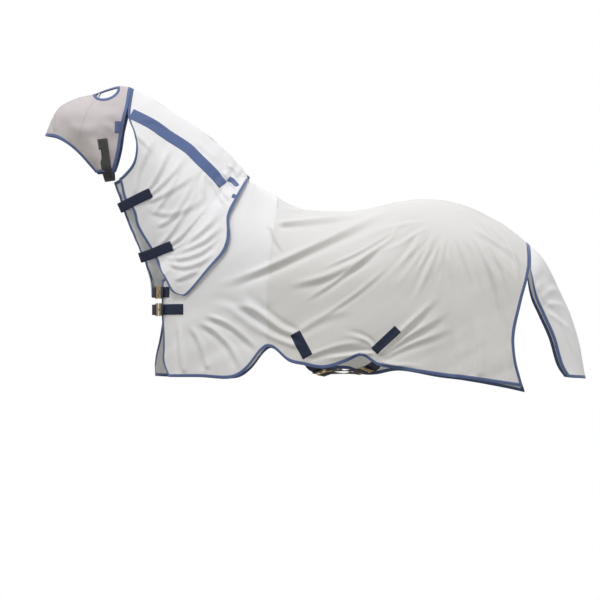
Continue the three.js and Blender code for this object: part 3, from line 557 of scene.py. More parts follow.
def maskRelief():
    r = Relief(-1000, -540, 20, 500, step=3.0, seed=31)
    r.fold([[-905, 350], [-905, 290], [-915, 240]], 4, 12, 0.8, 0.2, 0.2)
    r.fold([[-600, 330], [-660, 320], [-720, 330]], 3, 22, 0.6, 0.3, 0.3)
    r.fold([[-700, 250], [-780, 250], [-860, 275]], 4, 24, 0.7, 0.3, 0.3)
    r.fold([[-640, 150], [-700, 170], [-770, 200]], 3, 20, 0.6, 0.3, 0.3)
    r.fold([[-610, 210], [-640, 250], [-690, 280]], 3, 16, 0.7, 0.3, 0.3)
    r.h += 7 * np.exp(-(((r.X + 800) / 62) ** 2 + ((r.Z - 322) / 46) ** 2)) * MASK["fold"]
    r.ripple(1.1, 160, 70, 20)
    return r


# Rows crowd towards the forehead.
def maskRow(b):
    return 0.55 * b + 0.45 * (1 - np.cos(b * math.pi / 2))


def maskSurface(relief):
    def base(a, b):
        return maskSkin(a, maskRow(b))

    def height(a, b):
        side = maskSide(a, maskRow(b))
        return relief.read(side[..., 0], side[..., 1]) * smoothstep(0, 0.05, b)

    return raised(base, height)


# The tail flap: v runs down, w across from the near edge to the off edge.
def flapSkin(v, w):
    back, edge = curve(flapBack)(v), curve(flapEdge)(v)
    turn = (1 - np.cos(np.abs(w) * math.pi / 2))[..., None]
    side = back + (edge - back) * turn
    hang = np.minimum(v / 0.36, 1)
    opened = along(flapWidth, v) * np.sin(np.abs(w) * math.pi / 2)
    wide = rugHalf(np.full_like(v, 1284.0), np.maximum(side[..., 1], -480)) * (1 - hang) + opened * hang
    return np.stack([side[..., 0], np.sign(w) * wide, side[..., 1]], axis=-1)


def flapRelief():
    r = Relief(-1.1, 1.1, -0.05, 1.05, step=0.01, seed=41)
    rng = np.random.default_rng(4)
    folds = [
        (-0.9, 0.30, -0.1, 0.40, 7, 0.035), (-0.85, 0.36, -0.2, 0.52, 6, 0.03),
        (-0.9, 0.42, -0.35, 0.66, 5, 0.03), (-0.95, 0.2, -0.3, 0.27, 5, 0.035),
        (-0.7, 0.5, -0.45, 0.9, 5, 0.04), (-0.4, 0.45, -0.2, 0.9, 4, 0.04),
        (0.9, 0.32, 0.15, 0.42, 6, 0.035), (0.85, 0.4, 0.3, 0.6, 5, 0.03),
        (0.7, 0.5, 0.45, 0.9, 5, 0.04), (0.1, 0.4, 0.05, 0.95, 4, 0.05),
    ]
    for x0, z0, x1, z1, h, w in folds:
        bend = rng.normal(0, 0.03)
        middle = [(x0 + x1) / 2 + bend, (z0 + z1) / 2 + bend]
        r.fold([[x0, z0], middle, [x1, z1]], h * FLAP["fold"], w, 0.8, 0.2, 0.4)
    r.ripple(2.0, 0.9, 0.35, 80, smoothstep(0.25, 0.6, r.Z))
    r.h = np.clip(r.h, -9, 10)
    r.h *= smoothstep(0.02, 0.22, r.Z)
    return r


# a runs from the near edge to the off edge, b down from the dock.
def flapSurface(relief):
    def base(a, b):
        return flapSkin(b, 2 * a - 1)

    def height(a, b):
        return relief.read(2 * a - 1, b)

    return raised(base, height, -1.0)


# The four corners of each cell of a grid, in order round the cell.
def cellsOf(grid):
    return np.stack([grid[:-1, :-1], grid[1:, :-1], grid[1:, 1:], grid[:-1, 1:]], axis=2)


# An open surface: a grid of points and its UVs, both in millimetres; keep drops the cells of a hole.
def gridMesh(name, points, uv, keep=None):
    n, m = points.shape[:2]
    quads, corners = cellsOf(np.arange(n * m).reshape(n, m)), cellsOf(uv)
    if keep is not None:
        quads, corners = quads[keep], corners[keep]
    return buildMesh(name, points.reshape(-1, 3), quads.reshape(-1, 4), corners.reshape(-1, 2))


# A closed ring of points carried along rows, with flat ends; the UVs have one column more than the rings.
def tubeMesh(name, rings, uv):
    n, m = rings.shape[:2]
    index = np.arange(n * m).reshape(n, m)
    quads = cellsOf(np.concatenate([index, index[:, :1]], axis=1)).reshape(-1, 4)
    ends = [index[0, ::-1].tolist(), index[-1].tolist()]
    return outward(buildMesh(name, rings.reshape(-1, 3), quads, cellsOf(uv).reshape(-1, 2), ends))


# A mesh from points in millimetres, quads with their corners' UVs, and any end faces.
def buildMesh(name, points, quads, corners, ends=()):
    mesh = bpy.data.meshes.new(name)
    mesh.vertices.add(len(points))
    mesh.vertices.foreach_set("co", (points * 0.001).ravel())
    sizes = [4] * len(quads) + [len(end) for end in ends]
    loops = np.concatenate([quads.ravel(), *ends])
    mesh.loops.add(len(loops))
    mesh.loops.foreach_set("vertex_index", loops.astype(np.int32))
    mesh.polygons.add(len(sizes))
    starts = np.concatenate([[0], np.cumsum(sizes)[:-1]])
    mesh.polygons.foreach_set("loop_start", starts.astype(np.int32))
    mesh.polygons.foreach_set("loop_total", np.array(sizes, np.int32))
    layer = mesh.uv_layers.new(name="cloth")
    flat = np.zeros((len(loops), 2), np.float32)
    flat[: len(corners)] = corners * 0.001
    layer.data.foreach_set("uv", flat.ravel())
    mesh.polygons.foreach_set("use_smooth", np.ones(len(sizes), bool))
    mesh.update()
    mesh.validate()
    piece = bpy.data.objects.new(name, mesh)
    bpy.context.scene.collection.objects.link(piece)
    return piece


# Turns every face outwards.
def outward(piece):
    work = bmesh.new()
    work.from_mesh(piece.data)
    bmesh.ops.recalc_face_normals(work, faces=work.faces)
    work.to_mesh(piece.data)
    work.free()
    return piece


# One object from several.
def join(name, pieces):
    for other in bpy.context.selected_objects:
        other.select_set(False)
    for piece in pieces:
        piece.select_set(True)
    bpy.context.view_layer.objects.active = pieces[0]
    if len(pieces) > 1:
        bpy.ops.object.join()
    pieces[0].name = name
    pieces[0].data.name = name
    return pieces[0]


# A grid's area in square metres, from the diagonals of its cells.
def areaOf(points):
    d1 = points[1:, 1:] - points[:-1, :-1]
    d2 = points[:-1, 1:] - points[1:, :-1]
    return float(np.linalg.norm(np.cross(d1, d2), axis=-1).sum() / 2) * 1e-6


# The distances along a grid's columns and rows, as its UVs.
def lengthGrid(points):
    u = np.cumsum(np.linalg.norm(np.diff(points, axis=0, prepend=points[:1]), axis=-1), axis=0)
    v = np.cumsum(np.linalg.norm(np.diff(points, axis=1, prepend=points[:, :1]), axis=-1), axis=1)
    return np.stack([u, v], axis=-1)


# Puts the materials on, hangs the piece on its body and hides the solids it stands for; slot is not used.
def finishPiece(piece, body, nodes, slot, *materials):
    for m in materials:
        piece.data.materials.append(m)
    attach(piece, body)
    if nodes:
        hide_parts(*nodes)
    return piece


# A panel of cloth on a surface; nodes are the solids it stands for, tidy mends its edges, keep leaves a hole.
def clothPanel(name, at, columns, rows, body, nodes, slot, outer, inner, thick,
               keep=None, tidy=None):
    a, b = np.meshgrid(np.linspace(0, 1, columns), np.linspace(0, 1, rows), indexing="ij")
    points = at(a, b)
    if tidy is not None:
        points = tidy(points)
    if at.flip < 0:
        points = points[::-1]
        keep = None if keep is None else keep[::-1]
    piece = gridMesh(name, points, lengthGrid(points), keep)
    finishPiece(piece, body, nodes, slot, outer, inner)
    solid = piece.modifiers.new("cloth", "SOLIDIFY")
    solid.thickness = thick * 0.001
    solid.offset = 0
    solid.use_even_offset = False
    solid.material_offset = 1
    run = lengthGrid(points) * 0.001
    width, length = float(run[-1, :, 0].max()), float(run[:, -1, 1].max())
    cut = areaOf(points)
    width *= max(1.0, cut / (width * length) * 1.01)
    if keep is not None:
        cut *= keep.mean()
    return piece


# A tape folded round an edge of a surface: d is the distance in from the edge, h the height off the cloth.
def tapeProfile(width, thick):
    k = thick
    return [(width + 0.3, 0.0), (width, k * 0.9), (width * 0.6, k * 1.12), (width * 0.25, k * 1.08), (0.6, k),
            (-0.6, k * 0.55), (-0.9, 0.0), (-0.6, -k * 0.55), (0.6, -k), (width * 0.5, -k * 1.05),
            (width, -k * 0.9)]


# The tape along one edge of a surface, with a slight pucker from its stitching.
def edgeTape(at, edge, count, width, thick, wave, seed, span=(0.0, 1.0)):
    t = np.linspace(span[0], span[1], count)
    inward = {"a0": (1, 0), "a1": (-1, 0), "b0": (0, 1), "b1": (0, -1)}[edge]
    a = {"a0": np.zeros(count), "a1": np.ones(count)}.get(edge, t)
    b = {"b0": np.zeros(count), "b1": np.ones(count)}.get(edge, t)
    e = 0.004
    speed = np.linalg.norm(at(a + inward[0] * e, b + inward[1] * e) - at(a, b), axis=-1) / e
    edgePoint = at(a, b)
    into = unit(at(a + inward[0] * e, b + inward[1] * e) - edgePoint)
    rng = np.random.default_rng(seed)
    phase = rng.uniform(0, 6)
    run = runOf(edgePoint)
    swell = 0.4 + 0.6 * np.sin(run / 37 + phase) ** 2
    pucker = wave * swell * np.sin(run / 5.5 + phase + 2 * np.sin(run / 61))
    rows = []
    for d, h in tapeProfile(width, thick):
        if d > 0:
            s = d / speed
            aa, bb = a + inward[0] * s, b + inward[1] * s
            base, up = at(aa, bb), at.flip * normalOf(at, aa, bb)
        else:
            base, up = edgePoint + into * d, at.flip * normalOf(at, a, b)
        rows.append(base + up * (h + np.sign(h) * np.abs(pucker) * (0.5 if d > 0 else 0.1))[..., None])
    grid = np.stack(rows, axis=1)
    across = runOf(np.array(tapeProfile(width, thick)))
    uv = np.stack(np.broadcast_arrays(run[:, None], across[None, :]), axis=-1)
    closed = np.concatenate([grid, grid[:, :1]], axis=1)
    uvClosed = np.concatenate([uv, uv[:, -1:] + np.array([0.0, 3.0])], axis=1)
    return gridMesh("tape", closed, uvClosed)


# One binding from the tapes along several edges, each given as (surface, edge, rows, pucker, seed).
def binding(name, body, node, width, thick, tapes):
    strips = [edgeTape(at, edge, count, width, thick, *rest) for at, edge, count, *rest in tapes]
    finishPiece(outward(join(name, strips)), body, [node], "tape", tapeBlue)


# A strap: a rounded rectangle carried along a centre line, side and up being the strap's own directions.
def strapMesh(name, centre, up, width, thick, edge=0.6):
    centre = np.asarray(centre, float)
    run = unit(np.gradient(centre, axis=0))
    up = np.asarray(up, float)
    up = unit(up - (up * run).sum(-1, keepdims=True) * run)
    side = np.cross(run, up)
    w, k = width / 2, thick / 2
    half = [(-w, 0), (-w + 0.12, k * 0.7), (-w + edge, k), (-w * 0.5, k), (0, k), (w * 0.5, k), (w - edge, k),
            (w - 0.12, k * 0.7)]
    ring = half + [(-s, -h) for s, h in half]
    rings = np.stack([centre + side * s + up * h for s, h in ring], axis=1)
    across = np.array([s + w for s, _ in ring + ring[:1]])
    uv = np.stack(np.broadcast_arrays(runOf(centre)[:, None], across[None]), axis=-1)
    return tubeMesh(name, rings, uv)


# A patch lying on a surface: (s, t) in millimetres from a centre line that is read on the surface.
def stripOn(name, point, line, width, lift, thick, cell=5.0):
    at = curve(line)
    count = max(int(at.length / cell), 3)
    mid = at(np.linspace(0, 1, count))
    way = unit(np.gradient(mid, axis=0))
    across = np.stack([-way[:, 1], way[:, 0]], axis=-1)
    s = np.linspace(-width / 2, width / 2, max(int(width / cell) + 1, 6))
    flat = mid[:, None, :] + across[:, None, :] * s[None, :, None]
    points, up = point(flat)
    crown = thick * (1 - 0.5 * (np.abs(s) / (width / 2)) ** 8)
    top = points + up * (lift + crown)[None, :, None]
    low = points + up * lift
    u = np.linspace(0, at.length, count)
    v = np.concatenate([s, s[::-1], s[:1]]) + width / 2
    uv = np.stack(np.broadcast_arrays(u[:, None], v[None]), axis=-1)
    return tubeMesh(name, np.concatenate([top, low[:, ::-1]], axis=1), uv)


# Materials. A group gives a weave's height from UV metres:
# two crossing sets of threads, over and under by turns.
def nodeGroup(name, inputs, outputs):
    group = bpy.data.node_groups.new(name, "ShaderNodeTree")
    for label, kind, value in inputs:
        made = group.interface.new_socket(label, in_out="INPUT", socket_type=kind)
        if value is not None:
            made.default_value = value
    for label, kind in outputs:
        group.interface.new_socket(label, in_out="OUTPUT", socket_type=kind)
    return group, group.nodes.new("NodeGroupInput"), group.nodes.new("NodeGroupOutput")


class Net:
    def __init__(self, tree):
        self.tree = tree

    def add(self, kind, **values):
        node = self.tree.nodes.new(kind)
        for key, value in values.items():
            if hasattr(node, key):
                setattr(node, key, value)
            else:
                node.inputs[key.replace("_", " ")].default_value = value
        return node

    def link(self, a, b):
        self.tree.links.new(a, b)

    def math(self, op, a, b=None, c=None):
        node = self.tree.nodes.new("ShaderNodeMath")
        node.operation = op
        for k, value in enumerate((a, b, c)):
            if value is None:
                continue
            if hasattr(value, "links"):
                self.link(value, node.inputs[k])
            else:
                node.inputs[k].default_value = value
        return node.outputs[0]

    def mix(self, factor, a, b):
        node = self.tree.nodes.new("ShaderNodeMix")
        node.data_type = "RGBA"
        for socket, value in ((node.inputs[0], factor), (node.inputs[6], a), (node.inputs[7], b)):
            if hasattr(value, "links"):
                self.link(value, socket)
            else:
                socket.default_value = value if isinstance(value, (int, float)) else (*value, 1.0)[:4]
        return node.outputs[2]


def weaveGroup():
    group, gin, gout = nodeGroup(
        "threadWeave",
        [("UV", "NodeSocketVector", None), ("Across", "NodeSocketFloat", 800.0),
         ("Along", "NodeSocketFloat", 800.0), ("Rib", "NodeSocketFloat", 0.0)],
        [("Height", "NodeSocketFloat"), ("Gap", "NodeSocketFloat"), ("Thread", "NodeSocketFloat")],
    )
    n = Net(group)
    split = n.add("ShaderNodeSeparateXYZ")
    n.link(gin.outputs["UV"], split.inputs[0])
    u = n.math("MULTIPLY", split.outputs[0], gin.outputs["Along"])
    v = n.math("MULTIPLY", split.outputs[1], gin.outputs["Across"])
    cu, cv = n.math("FLOOR", u), n.math("FLOOR", v)
    parity = n.math("FLOORED_MODULO", n.math("ADD", cu, cv), 2.0)
    hu = n.math("ABSOLUTE", n.math("SINE", n.math("MULTIPLY", u, math.pi)))
    hv = n.math("ABSOLUTE", n.math("SINE", n.math("MULTIPLY", v, math.pi)))
    warp = n.math("MULTIPLY", hv, n.math("MULTIPLY_ADD", hu, 0.5, 0.5))
    weft = n.math("MULTIPLY", hu, n.math("MULTIPLY_ADD", hv, 0.5, 0.5))
    keep = n.math("MAXIMUM", parity, gin.outputs["Rib"])
    over = n.math("MULTIPLY", warp, keep)
    under = n.math("MULTIPLY", weft, n.math("SUBTRACT", 1.0, keep))
    n.link(n.math("ADD", over, under), gout.inputs["Height"])
    gap = n.math("SUBTRACT", 1.0, n.math("MAXIMUM", hu, hv))
    n.link(n.math("SMOOTH_MIN", n.math("MULTIPLY", gap, 3.0), 1.0, 0.2), gout.inputs["Gap"])
    noise = n.add("ShaderNodeTexNoise", Scale=1.0, Detail=2.0)
    combine = n.add("ShaderNodeCombineXYZ")
    n.link(n.math("MULTIPLY", cu, 0.37), combine.inputs[0])
    n.link(n.math("MULTIPLY", cv, 0.37), combine.inputs[1])
    n.link(combine.outputs[0], noise.inputs["Vector"])
    n.link(noise.outputs[0], gout.inputs["Thread"])
    return group


weave = weaveGroup()


# A fabric: look holds the colours, thread counts per metre, bump and sheen.
def fabric(name, look):
    material = bpy.data.materials.new(name)
    material.use_nodes = True
    tree = material.node_tree
    tree.nodes.clear()
    n = Net(tree)
    out = n.add("ShaderNodeOutputMaterial")
    shader = n.add("ShaderNodeBsdfPrincipled")
    uv = n.add("ShaderNodeUVMap")
    uv.uv_map = "cloth"
    coord = n.add("ShaderNodeTexCoord")
    threads = tree.nodes.new("ShaderNodeGroup")
    threads.node_tree = weave
    threads.inputs["Across"].default_value = look["across"]
    threads.inputs["Along"].default_value = look["along"]
    n.link(uv.outputs[0], threads.inputs["UV"])
    wide = n.add("ShaderNodeTexNoise", Scale=look.get("patchScale", 3.2), Detail=4.0, Roughness=0.55)
    n.link(coord.outputs["Object"], wide.inputs["Vector"])
    fine = n.add("ShaderNodeTexNoise", Scale=look.get("fleckScale", 90.0), Detail=3.0, Roughness=0.6)
    n.link(coord.outputs["Object"], fine.inputs["Vector"])
    base = n.mix(wide.outputs[0], look["colour"], look["second"])
    base = n.mix(n.math("MULTIPLY", fine.outputs[0], look.get("fleck", 0.12)), base, look["second"])
    base = n.mix(n.math("MULTIPLY", threads.outputs["Gap"], look.get("gapDark", 0.3)), base, look["gap"])
    base = n.mix(n.math("MULTIPLY", threads.outputs["Thread"], 0.1), base, look["second"])
    if "stitch" in look:
        split = n.add("ShaderNodeSeparateXYZ")
        n.link(uv.outputs[0], split.inputs[0])
        dash = n.math("LESS_THAN", n.math("FRACT", n.math("MULTIPLY", split.outputs[0], 260.0)), 0.62)
        total = None
        for line in look["stitch"]:
            gap = n.math("ABSOLUTE", n.math("SUBTRACT", split.outputs[1], line))
            mark = n.math("LESS_THAN", gap, 0.00045)
            total = mark if total is None else n.math("MAXIMUM", total, mark)
        stitched = n.math("MULTIPLY", dash, total)
        base = n.mix(n.math("MULTIPLY", stitched, 0.8), base, look["thread"])
    n.link(base, shader.inputs["Base Color"])
    rough = n.math("MULTIPLY_ADD", fine.outputs[0], 0.12, look.get("rough", 0.72))
    n.link(rough, shader.inputs["Roughness"])
    shader.inputs["Sheen Weight"].default_value = look.get("sheen", 0.25)
    shader.inputs["Sheen Roughness"].default_value = 0.45
    shader.inputs["Specular IOR Level"].default_value = look.get("specular", 0.3)
    bump = n.add("ShaderNodeBump")
    bump.inputs["Strength"].default_value = look.get("bump", 0.3)
    bump.inputs["Distance"].default_value = look.get("depth", 0.0004)
    lumps = n.math("MULTIPLY", fine.outputs[0], look.get("lumps", 0.5))
    height = n.math("ADD", threads.outputs["Height"], lumps)
    n.link(height, bump.inputs["Height"])
    soft = n.add("ShaderNodeBump")
    soft.inputs["Strength"].default_value = look.get("creaseBump", 0.25)
    soft.inputs["Distance"].default_value = 0.004
    crease = n.add("ShaderNodeTexNoise", Detail=3.0, Roughness=0.5, Distortion=0.6)
    crease.inputs["Scale"].default_value = look.get("creaseScale", 14.0)
    n.link(coord.outputs["Object"], crease.inputs["Vector"])
    n.link(crease.outputs[0], soft.inputs["Height"])
    n.link(soft.outputs[0], bump.inputs["Normal"])
    n.link(bump.outputs[0], shader.inputs["Normal"])
    surface = shader.outputs[0]
    if look.get("thin"):
        through = n.add("ShaderNodeBsdfTranslucent")
        n.link(base, through.inputs["Color"])
        n.link(soft.outputs[0], through.inputs["Normal"])
        blend = n.add("ShaderNodeMixShader")
        blend.inputs[0].default_value = look["thin"]
        n.link(surface, blend.inputs[1])
        n.link(through.outputs[0], blend.inputs[2])
        surface = blend.outputs[0]
    if look.get("open"):
        clear = n.add("ShaderNodeBsdfTransparent")
        blend = n.add("ShaderNodeMixShader")
        n.link(n.math("MULTIPLY_ADD", threads.outputs["Gap"], 0.25, look["open"]), blend.inputs[0])
        n.link(surface, blend.inputs[1])
        n.link(clear.outputs[0], blend.inputs[2])
        surface = blend.outputs[0]
    n.link(surface, out.inputs["Surface"])
    return material


# Linear colours; thread counts are per metre, stitch lines are metres in from the edge.
CLOTH = {"colour": (0.85, 0.845, 0.84), "second": (0.785, 0.777, 0.76), "gap": (0.55, 0.56, 0.58),
         "across": 900.0, "along": 900.0, "bump": 0.25, "rough": 0.7, "sheen": 0.35, "thin": 0.38,
         "creaseBump": 0.22}
SHOULDER = {**CLOTH, "colour": (0.90, 0.90, 0.915), "second": (0.87, 0.87, 0.885),
            "across": 1500.0, "along": 1500.0, "rough": 0.5, "sheen": 0.2, "bump": 0.15}
# The neck cover and the tail flap wear the rug's cloth painted lighter and cooler: a painted highlight for
# the light falling on them.
PAINTED_LIGHTER_CLOTH = {**CLOTH, "colour": (0.91, 0.91, 0.925), "second": (0.88, 0.88, 0.895), "gap": (0.62, 0.62, 0.66)}
# The inside face is the same cloth painted lighter and cooler: painted light that lifts the shade inside the
# sheet.
INSIDE_PAINTED_LIGHTER = {**CLOTH, "colour": (0.88, 0.89, 0.90), "second": (0.83, 0.84, 0.85), "gap": (0.66, 0.67, 0.7),
          "thin": 0.6}
TAPEBLUE = {"colour": (0.058, 0.090, 0.205), "second": (0.085, 0.125, 0.25), "gap": (0.04, 0.06, 0.15),
            "across": 1400.0, "along": 1100.0, "bump": 0.5, "rough": 0.62, "sheen": 0.3, "fleck": 0.3,
            "stitch": [0.0022, 0.0128], "thread": (0.15, 0.2, 0.35), "creaseBump": 0.15, "creaseScale": 60.0}
BANDBLUE = {**TAPEBLUE, "colour": (0.055, 0.088, 0.22), "stitch": [0.003, 0.047], "across": 1100.0}
WEBNAVY = {"colour": (0.006, 0.012, 0.036), "second": (0.013, 0.021, 0.055), "gap": (0.003, 0.005, 0.015),
           "across": 620.0, "along": 420.0, "bump": 0.8, "depth": 0.0006, "rough": 0.68, "sheen": 0.12,
           "fleck": 0.35, "stitch": [0.004, 0.045], "thread": (0.03, 0.045, 0.11), "creaseBump": 0.1,
           "creaseScale": 50.0}
CHARCOAL = {**WEBNAVY, "colour": (0.030, 0.030, 0.033), "second": (0.052, 0.052, 0.056),
            "gap": (0.02, 0.02, 0.022), "thread": (0.13, 0.13, 0.135), "lumps": 1.2}
MESHLOOK = {"colour": (0.59, 0.545, 0.55), "second": (0.50, 0.46, 0.465), "gap": (0.22, 0.2, 0.23),
            "across": 520.0, "along": 520.0, "bump": 0.5, "rough": 0.75, "sheen": 0.3, "gapDark": 0.6,
            "open": 0.02, "patchScale": 5.5, "creaseBump": 0.3}
SEAMLOOK = {**MESHLOOK, "colour": (0.46, 0.43, 0.46), "second": (0.4, 0.37, 0.4), "open": 0.0}

clothOut = fabric("rugCloth", CLOTH)
shoulderOut = fabric("shoulderCloth", SHOULDER)
# The rug's cloth painted lighter and cooler, painted light for the neck cover and the tail flap.
paintedLighterClothOut = fabric("clothPaintedLighter", PAINTED_LIGHTER_CLOTH)
# The inner face, painted lighter than the outer cloth as painted light against the shade inside.
clothIn = fabric("insideClothPaintedLighter", INSIDE_PAINTED_LIGHTER)
tapeBlue = fabric("edgeTape", TAPEBLUE)
bandBlue = fabric("neckBandTape", BANDBLUE)
webNavy = fabric("strapWebbing", WEBNAVY)
charcoal = fabric("maskStrapTape", CHARCOAL)
maskMesh = fabric("maskMesh", MESHLOOK)
seamMesh = fabric("maskSeam", SEAMLOOK)


# Cast brass with a fine uneven polish.
def brassMaterial():
    material = bpy.data.materials.new("fittingBrass")
    material.use_nodes = True
    tree = material.node_tree
    n = Net(tree)
    shader = tree.nodes["Principled BSDF"]
    coord = n.add("ShaderNodeTexCoord")
    noise = n.add("ShaderNodeTexNoise", Scale=160.0, Detail=5.0)
    n.link(coord.outputs["Object"], noise.inputs["Vector"])
    n.link(n.mix(noise.outputs[0], (0.66, 0.50, 0.24), (0.50, 0.36, 0.16)), shader.inputs["Base Color"])
    shader.inputs["Metallic"].default_value = 1.0
    n.link(n.math("MULTIPLY_ADD", noise.outputs[0], 0.25, 0.22), shader.inputs["Roughness"])
    bump = n.add("ShaderNodeBump")
    bump.inputs["Strength"].default_value = 0.25
    bump.inputs["Distance"].default_value = 0.0003
    n.link(noise.outputs[0], bump.inputs["Height"])
    n.link(bump.outputs[0], shader.inputs["Normal"])
    return material


brass = brassMaterial()
print("materials made")


# The camera stands at the near side; across is the width that it takes in at the target.
def makeCamera():
    data = bpy.data.cameras.new("camera")
    camera = bpy.data.objects.new("camera", data)
    bpy.context.scene.collection.objects.link(camera)
    bpy.context.scene.camera = camera
    a, e = math.radians(CAMERA["azimuth"]), math.radians(CAMERA["elevation"])
    back = Vector((-math.sin(a) * math.cos(e), -math.cos(a) * math.cos(e), math.sin(e)))
    camera.location = Vector(CAMERA["target"]) + back * CAMERA["distance"]
    camera.rotation_mode = "QUATERNION"
    camera.rotation_quaternion = (-back).to_track_quat("-Z", "Y")
    data.sensor_width = 36.0
    data.lens = 36.0 * CAMERA["distance"] / CAMERA["across"]
    data.clip_start, data.clip_end = 0.1, 60


makeCamera()

# Rug panels and bindings.
for near in (True, False):
    label = "near" if near else "off"
    side = RugSide(nearHem, nearRear, nearFront) if near else RugSide(offHem, offRear, offFront)
    side.prepare()
    relief = rugRelief(near)
    shoulderAt = side.surface("front", "seam", relief)
    bodyAt = side.surface("seam", "rear", relief)
    if near:
        nearRelief = relief
    else:
        offRelief = relief
        shoulderAt, bodyAt = mirrored(shoulderAt), mirrored(bodyAt)
    sign = 1 if near else -1

    def onSpine(points, sign=sign):
        y = points[..., 1] * sign
        free = points[..., 0] < -40
        y = np.where(free, y, np.minimum(y, 0))
        y[:, 0] = np.where(free[:, 0], y[:, 0], 0)
        points[..., 1] = y * sign
        return points

    rows = int(1010 / RUG["cell"])
    clothPanel(f"{label}BodyPanel", bodyAt, int(1190 / RUG["cell"]), rows, "rug", [f"{label}_body_panel"],
               "cloth", clothOut, clothIn, RUG["cloth"], tidy=onSpine)
    clothPanel(f"{label}ShoulderPanel", shoulderAt, int(560 / RUG["cell"]), rows, "rug",
               [f"{label}_shoulder_panel"], "smooth", shoulderOut, clothIn, RUG["cloth"], tidy=onSpine)
    top = shoulderAt(np.linspace(0, 1, 200), np.zeros(200))[:, 0]
    neckEnd = float(np.interp(-34, top, np.linspace(0, 1, 200)))
    binding(f"{label}RugBinding", "rug", f"{label}_rug_binding", RUG["tape"], RUG["tapeThick"], [
        (shoulderAt, "a0", 120, 0.25, 1),
        (shoulderAt, "b1", 110, 0.35, 2),
        (shoulderAt, "b0", 120, 0.25, 3, (0.0, neckEnd)),
        (bodyAt, "b1", 260, 0.35, 4),
        (bodyAt, "a1", 160, 0.3, 5),
    ])
print("rug made")


# The unit normal of a surface read as at(s, t), from points a step to each side.
def sideNormal(at, s, t, step):
    return unit(np.cross(at(s + step, t) - at(s - step, t), at(s, t + step) - at(s, t - step)))


# The creased rug read at places (x, z) in the side view.
def onRug(relief, sign):
    def skin(x, z):
        n = sideNormal(lambda u, w: rugSkin(stationOf(u), w), x, z, 1.0)
        return rugSkin(stationOf(x), z) + n * relief.read(stationOf(x) + chestStart, z)[..., None]

    def point(flat):
        x, z = flat[..., 0], flat[..., 1]
        side = np.array([1.0, sign, 1.0])
        return skin(x, z) * side, sideNormal(skin, x, z, 2.0) * side

    return point


shoulderSeam = [[x, z] for x, z in seamLine if -800 < z < -60]
for near in (True, False):
    label, sign, relief = ("near", 1.0, nearRelief) if near else ("off", -1.0, offRelief)
    on = onRug(relief, sign)
    for where, line, width in (("front", frontPatch, 50.0), ("rear", rearPatch, 40.0)):
        patch = stripOn(f"{label}{where.capitalize()}Patch", on, line, width, 0.6, 1.8)
        finishPiece(patch, "rug", [f"{label}_{where}_patch"], "webbing", webNavy)
    seam = stripOn(f"{label}ShoulderSeam", on, shoulderSeam, 7.0, 0.3, 0.7, 3.5)
    finishPiece(seam, "rug", [], "smooth", shoulderOut)

# Neck cover.
neckSides = {}
for near in (True, False):
    label = "near" if near else "off"
    side = NeckSide(near)
    at = side.surface(neckRelief(near))
    neckSides[label] = (side, at)
    if not near:
        at = mirrored(at)
    sign = 1 if near else -1

    def onCrest(points, sign=sign, near=near):
        y = np.minimum(points[..., 1] * sign, 0)
        y[:, 0] = 0
        if not near:
            y[:, -1] = 0
        points[..., 1] = y * sign
        return points

    # The neck panel wears the cloth painted lighter, a painted highlight.
    clothPanel(f"{label}NeckPanel", at, int(760 / NECK["cell"]), int(620 / NECK["cell"]), "neck_cover",
               [f"{label}_neck_panel"], "cloth", paintedLighterClothOut, clothIn, NECK["cloth"], tidy=onCrest)
    binding(f"{label}NeckBinding", "neck_cover", f"{label}_neck_binding", NECK["tape"], 1.2, [
        (at, "a0", 110, 0.3, 11),
        (at, "b1", 170, 0.3, 12),
        (at, "a1", 150, 0.3, 13),
    ])


# Places in the side view on a surface that is read by shares (a, b).
def onShares(at, toShares):
    def point(flat):
        shape = flat.shape[:-1]
        a, b = toShares(flat.reshape(-1, 2))
        a, b = a.reshape(shape), b.reshape(shape)
        return at(a, b), at.flip * normalOf(at, a, b, 0.004)

    return point


def neckShares(flat):
    u, v = invert(neckSide, flat, 0.4, 0.4)
    side, _ = neckSides["near"]
    low = side.lower(u)
    b = np.linspace(0, 1, 400)
    return u, np.interp(v / low, side.share(b), b)


nearNeckAt = neckSides["near"][1]
onNeck = onShares(nearNeckAt, neckShares)


# The same place on the off side.
def farSide(on):
    return lambda flat: tuple(k * np.array([1, -1, 1]) for k in on(flat))


gathered = [([[-104, 26], [-84, 12], [-62, -14]], 24.0), ([[-84, -60], [-64, -68], [-48, -84]], 20.0)]
for number, (line, width) in enumerate(gathered):  # band showing in the gathers at the withers
    scrap = stripOn(f"gatheredBand{number}", onNeck, line, width, 0.4, 1.0, 3.0)
    finishPiece(scrap, "neck_cover", [], "tape", bandBlue)
for label, on in (("near", onNeck), ("off", farSide(onNeck))):
    band = stripOn(f"{label}NeckBand", on, bandLine, NECK["band"], 0.4, 1.0, 4.0)
    finishPiece(band, "neck_cover", [f"{label}_neck_band"], "tape", bandBlue)
print("neck cover made")

# Mask.
maskNear = maskSurface(maskRelief())
maskFar = mirrored(maskNear)


# Below 1 inside the ear hole's ellipse, which is grown by so many millimetres.
def earShape(p, grow):
    c, s = math.cos(ear["tilt"]), math.sin(ear["tilt"])
    dx, dz = p[..., 0] - ear["x"], p[..., 2] - ear["z"]
    return ((dx * c + dz * s) / (ear["long"] + grow)) ** 2 + ((-dx * s + dz * c) / (ear["high"] + grow)) ** 2


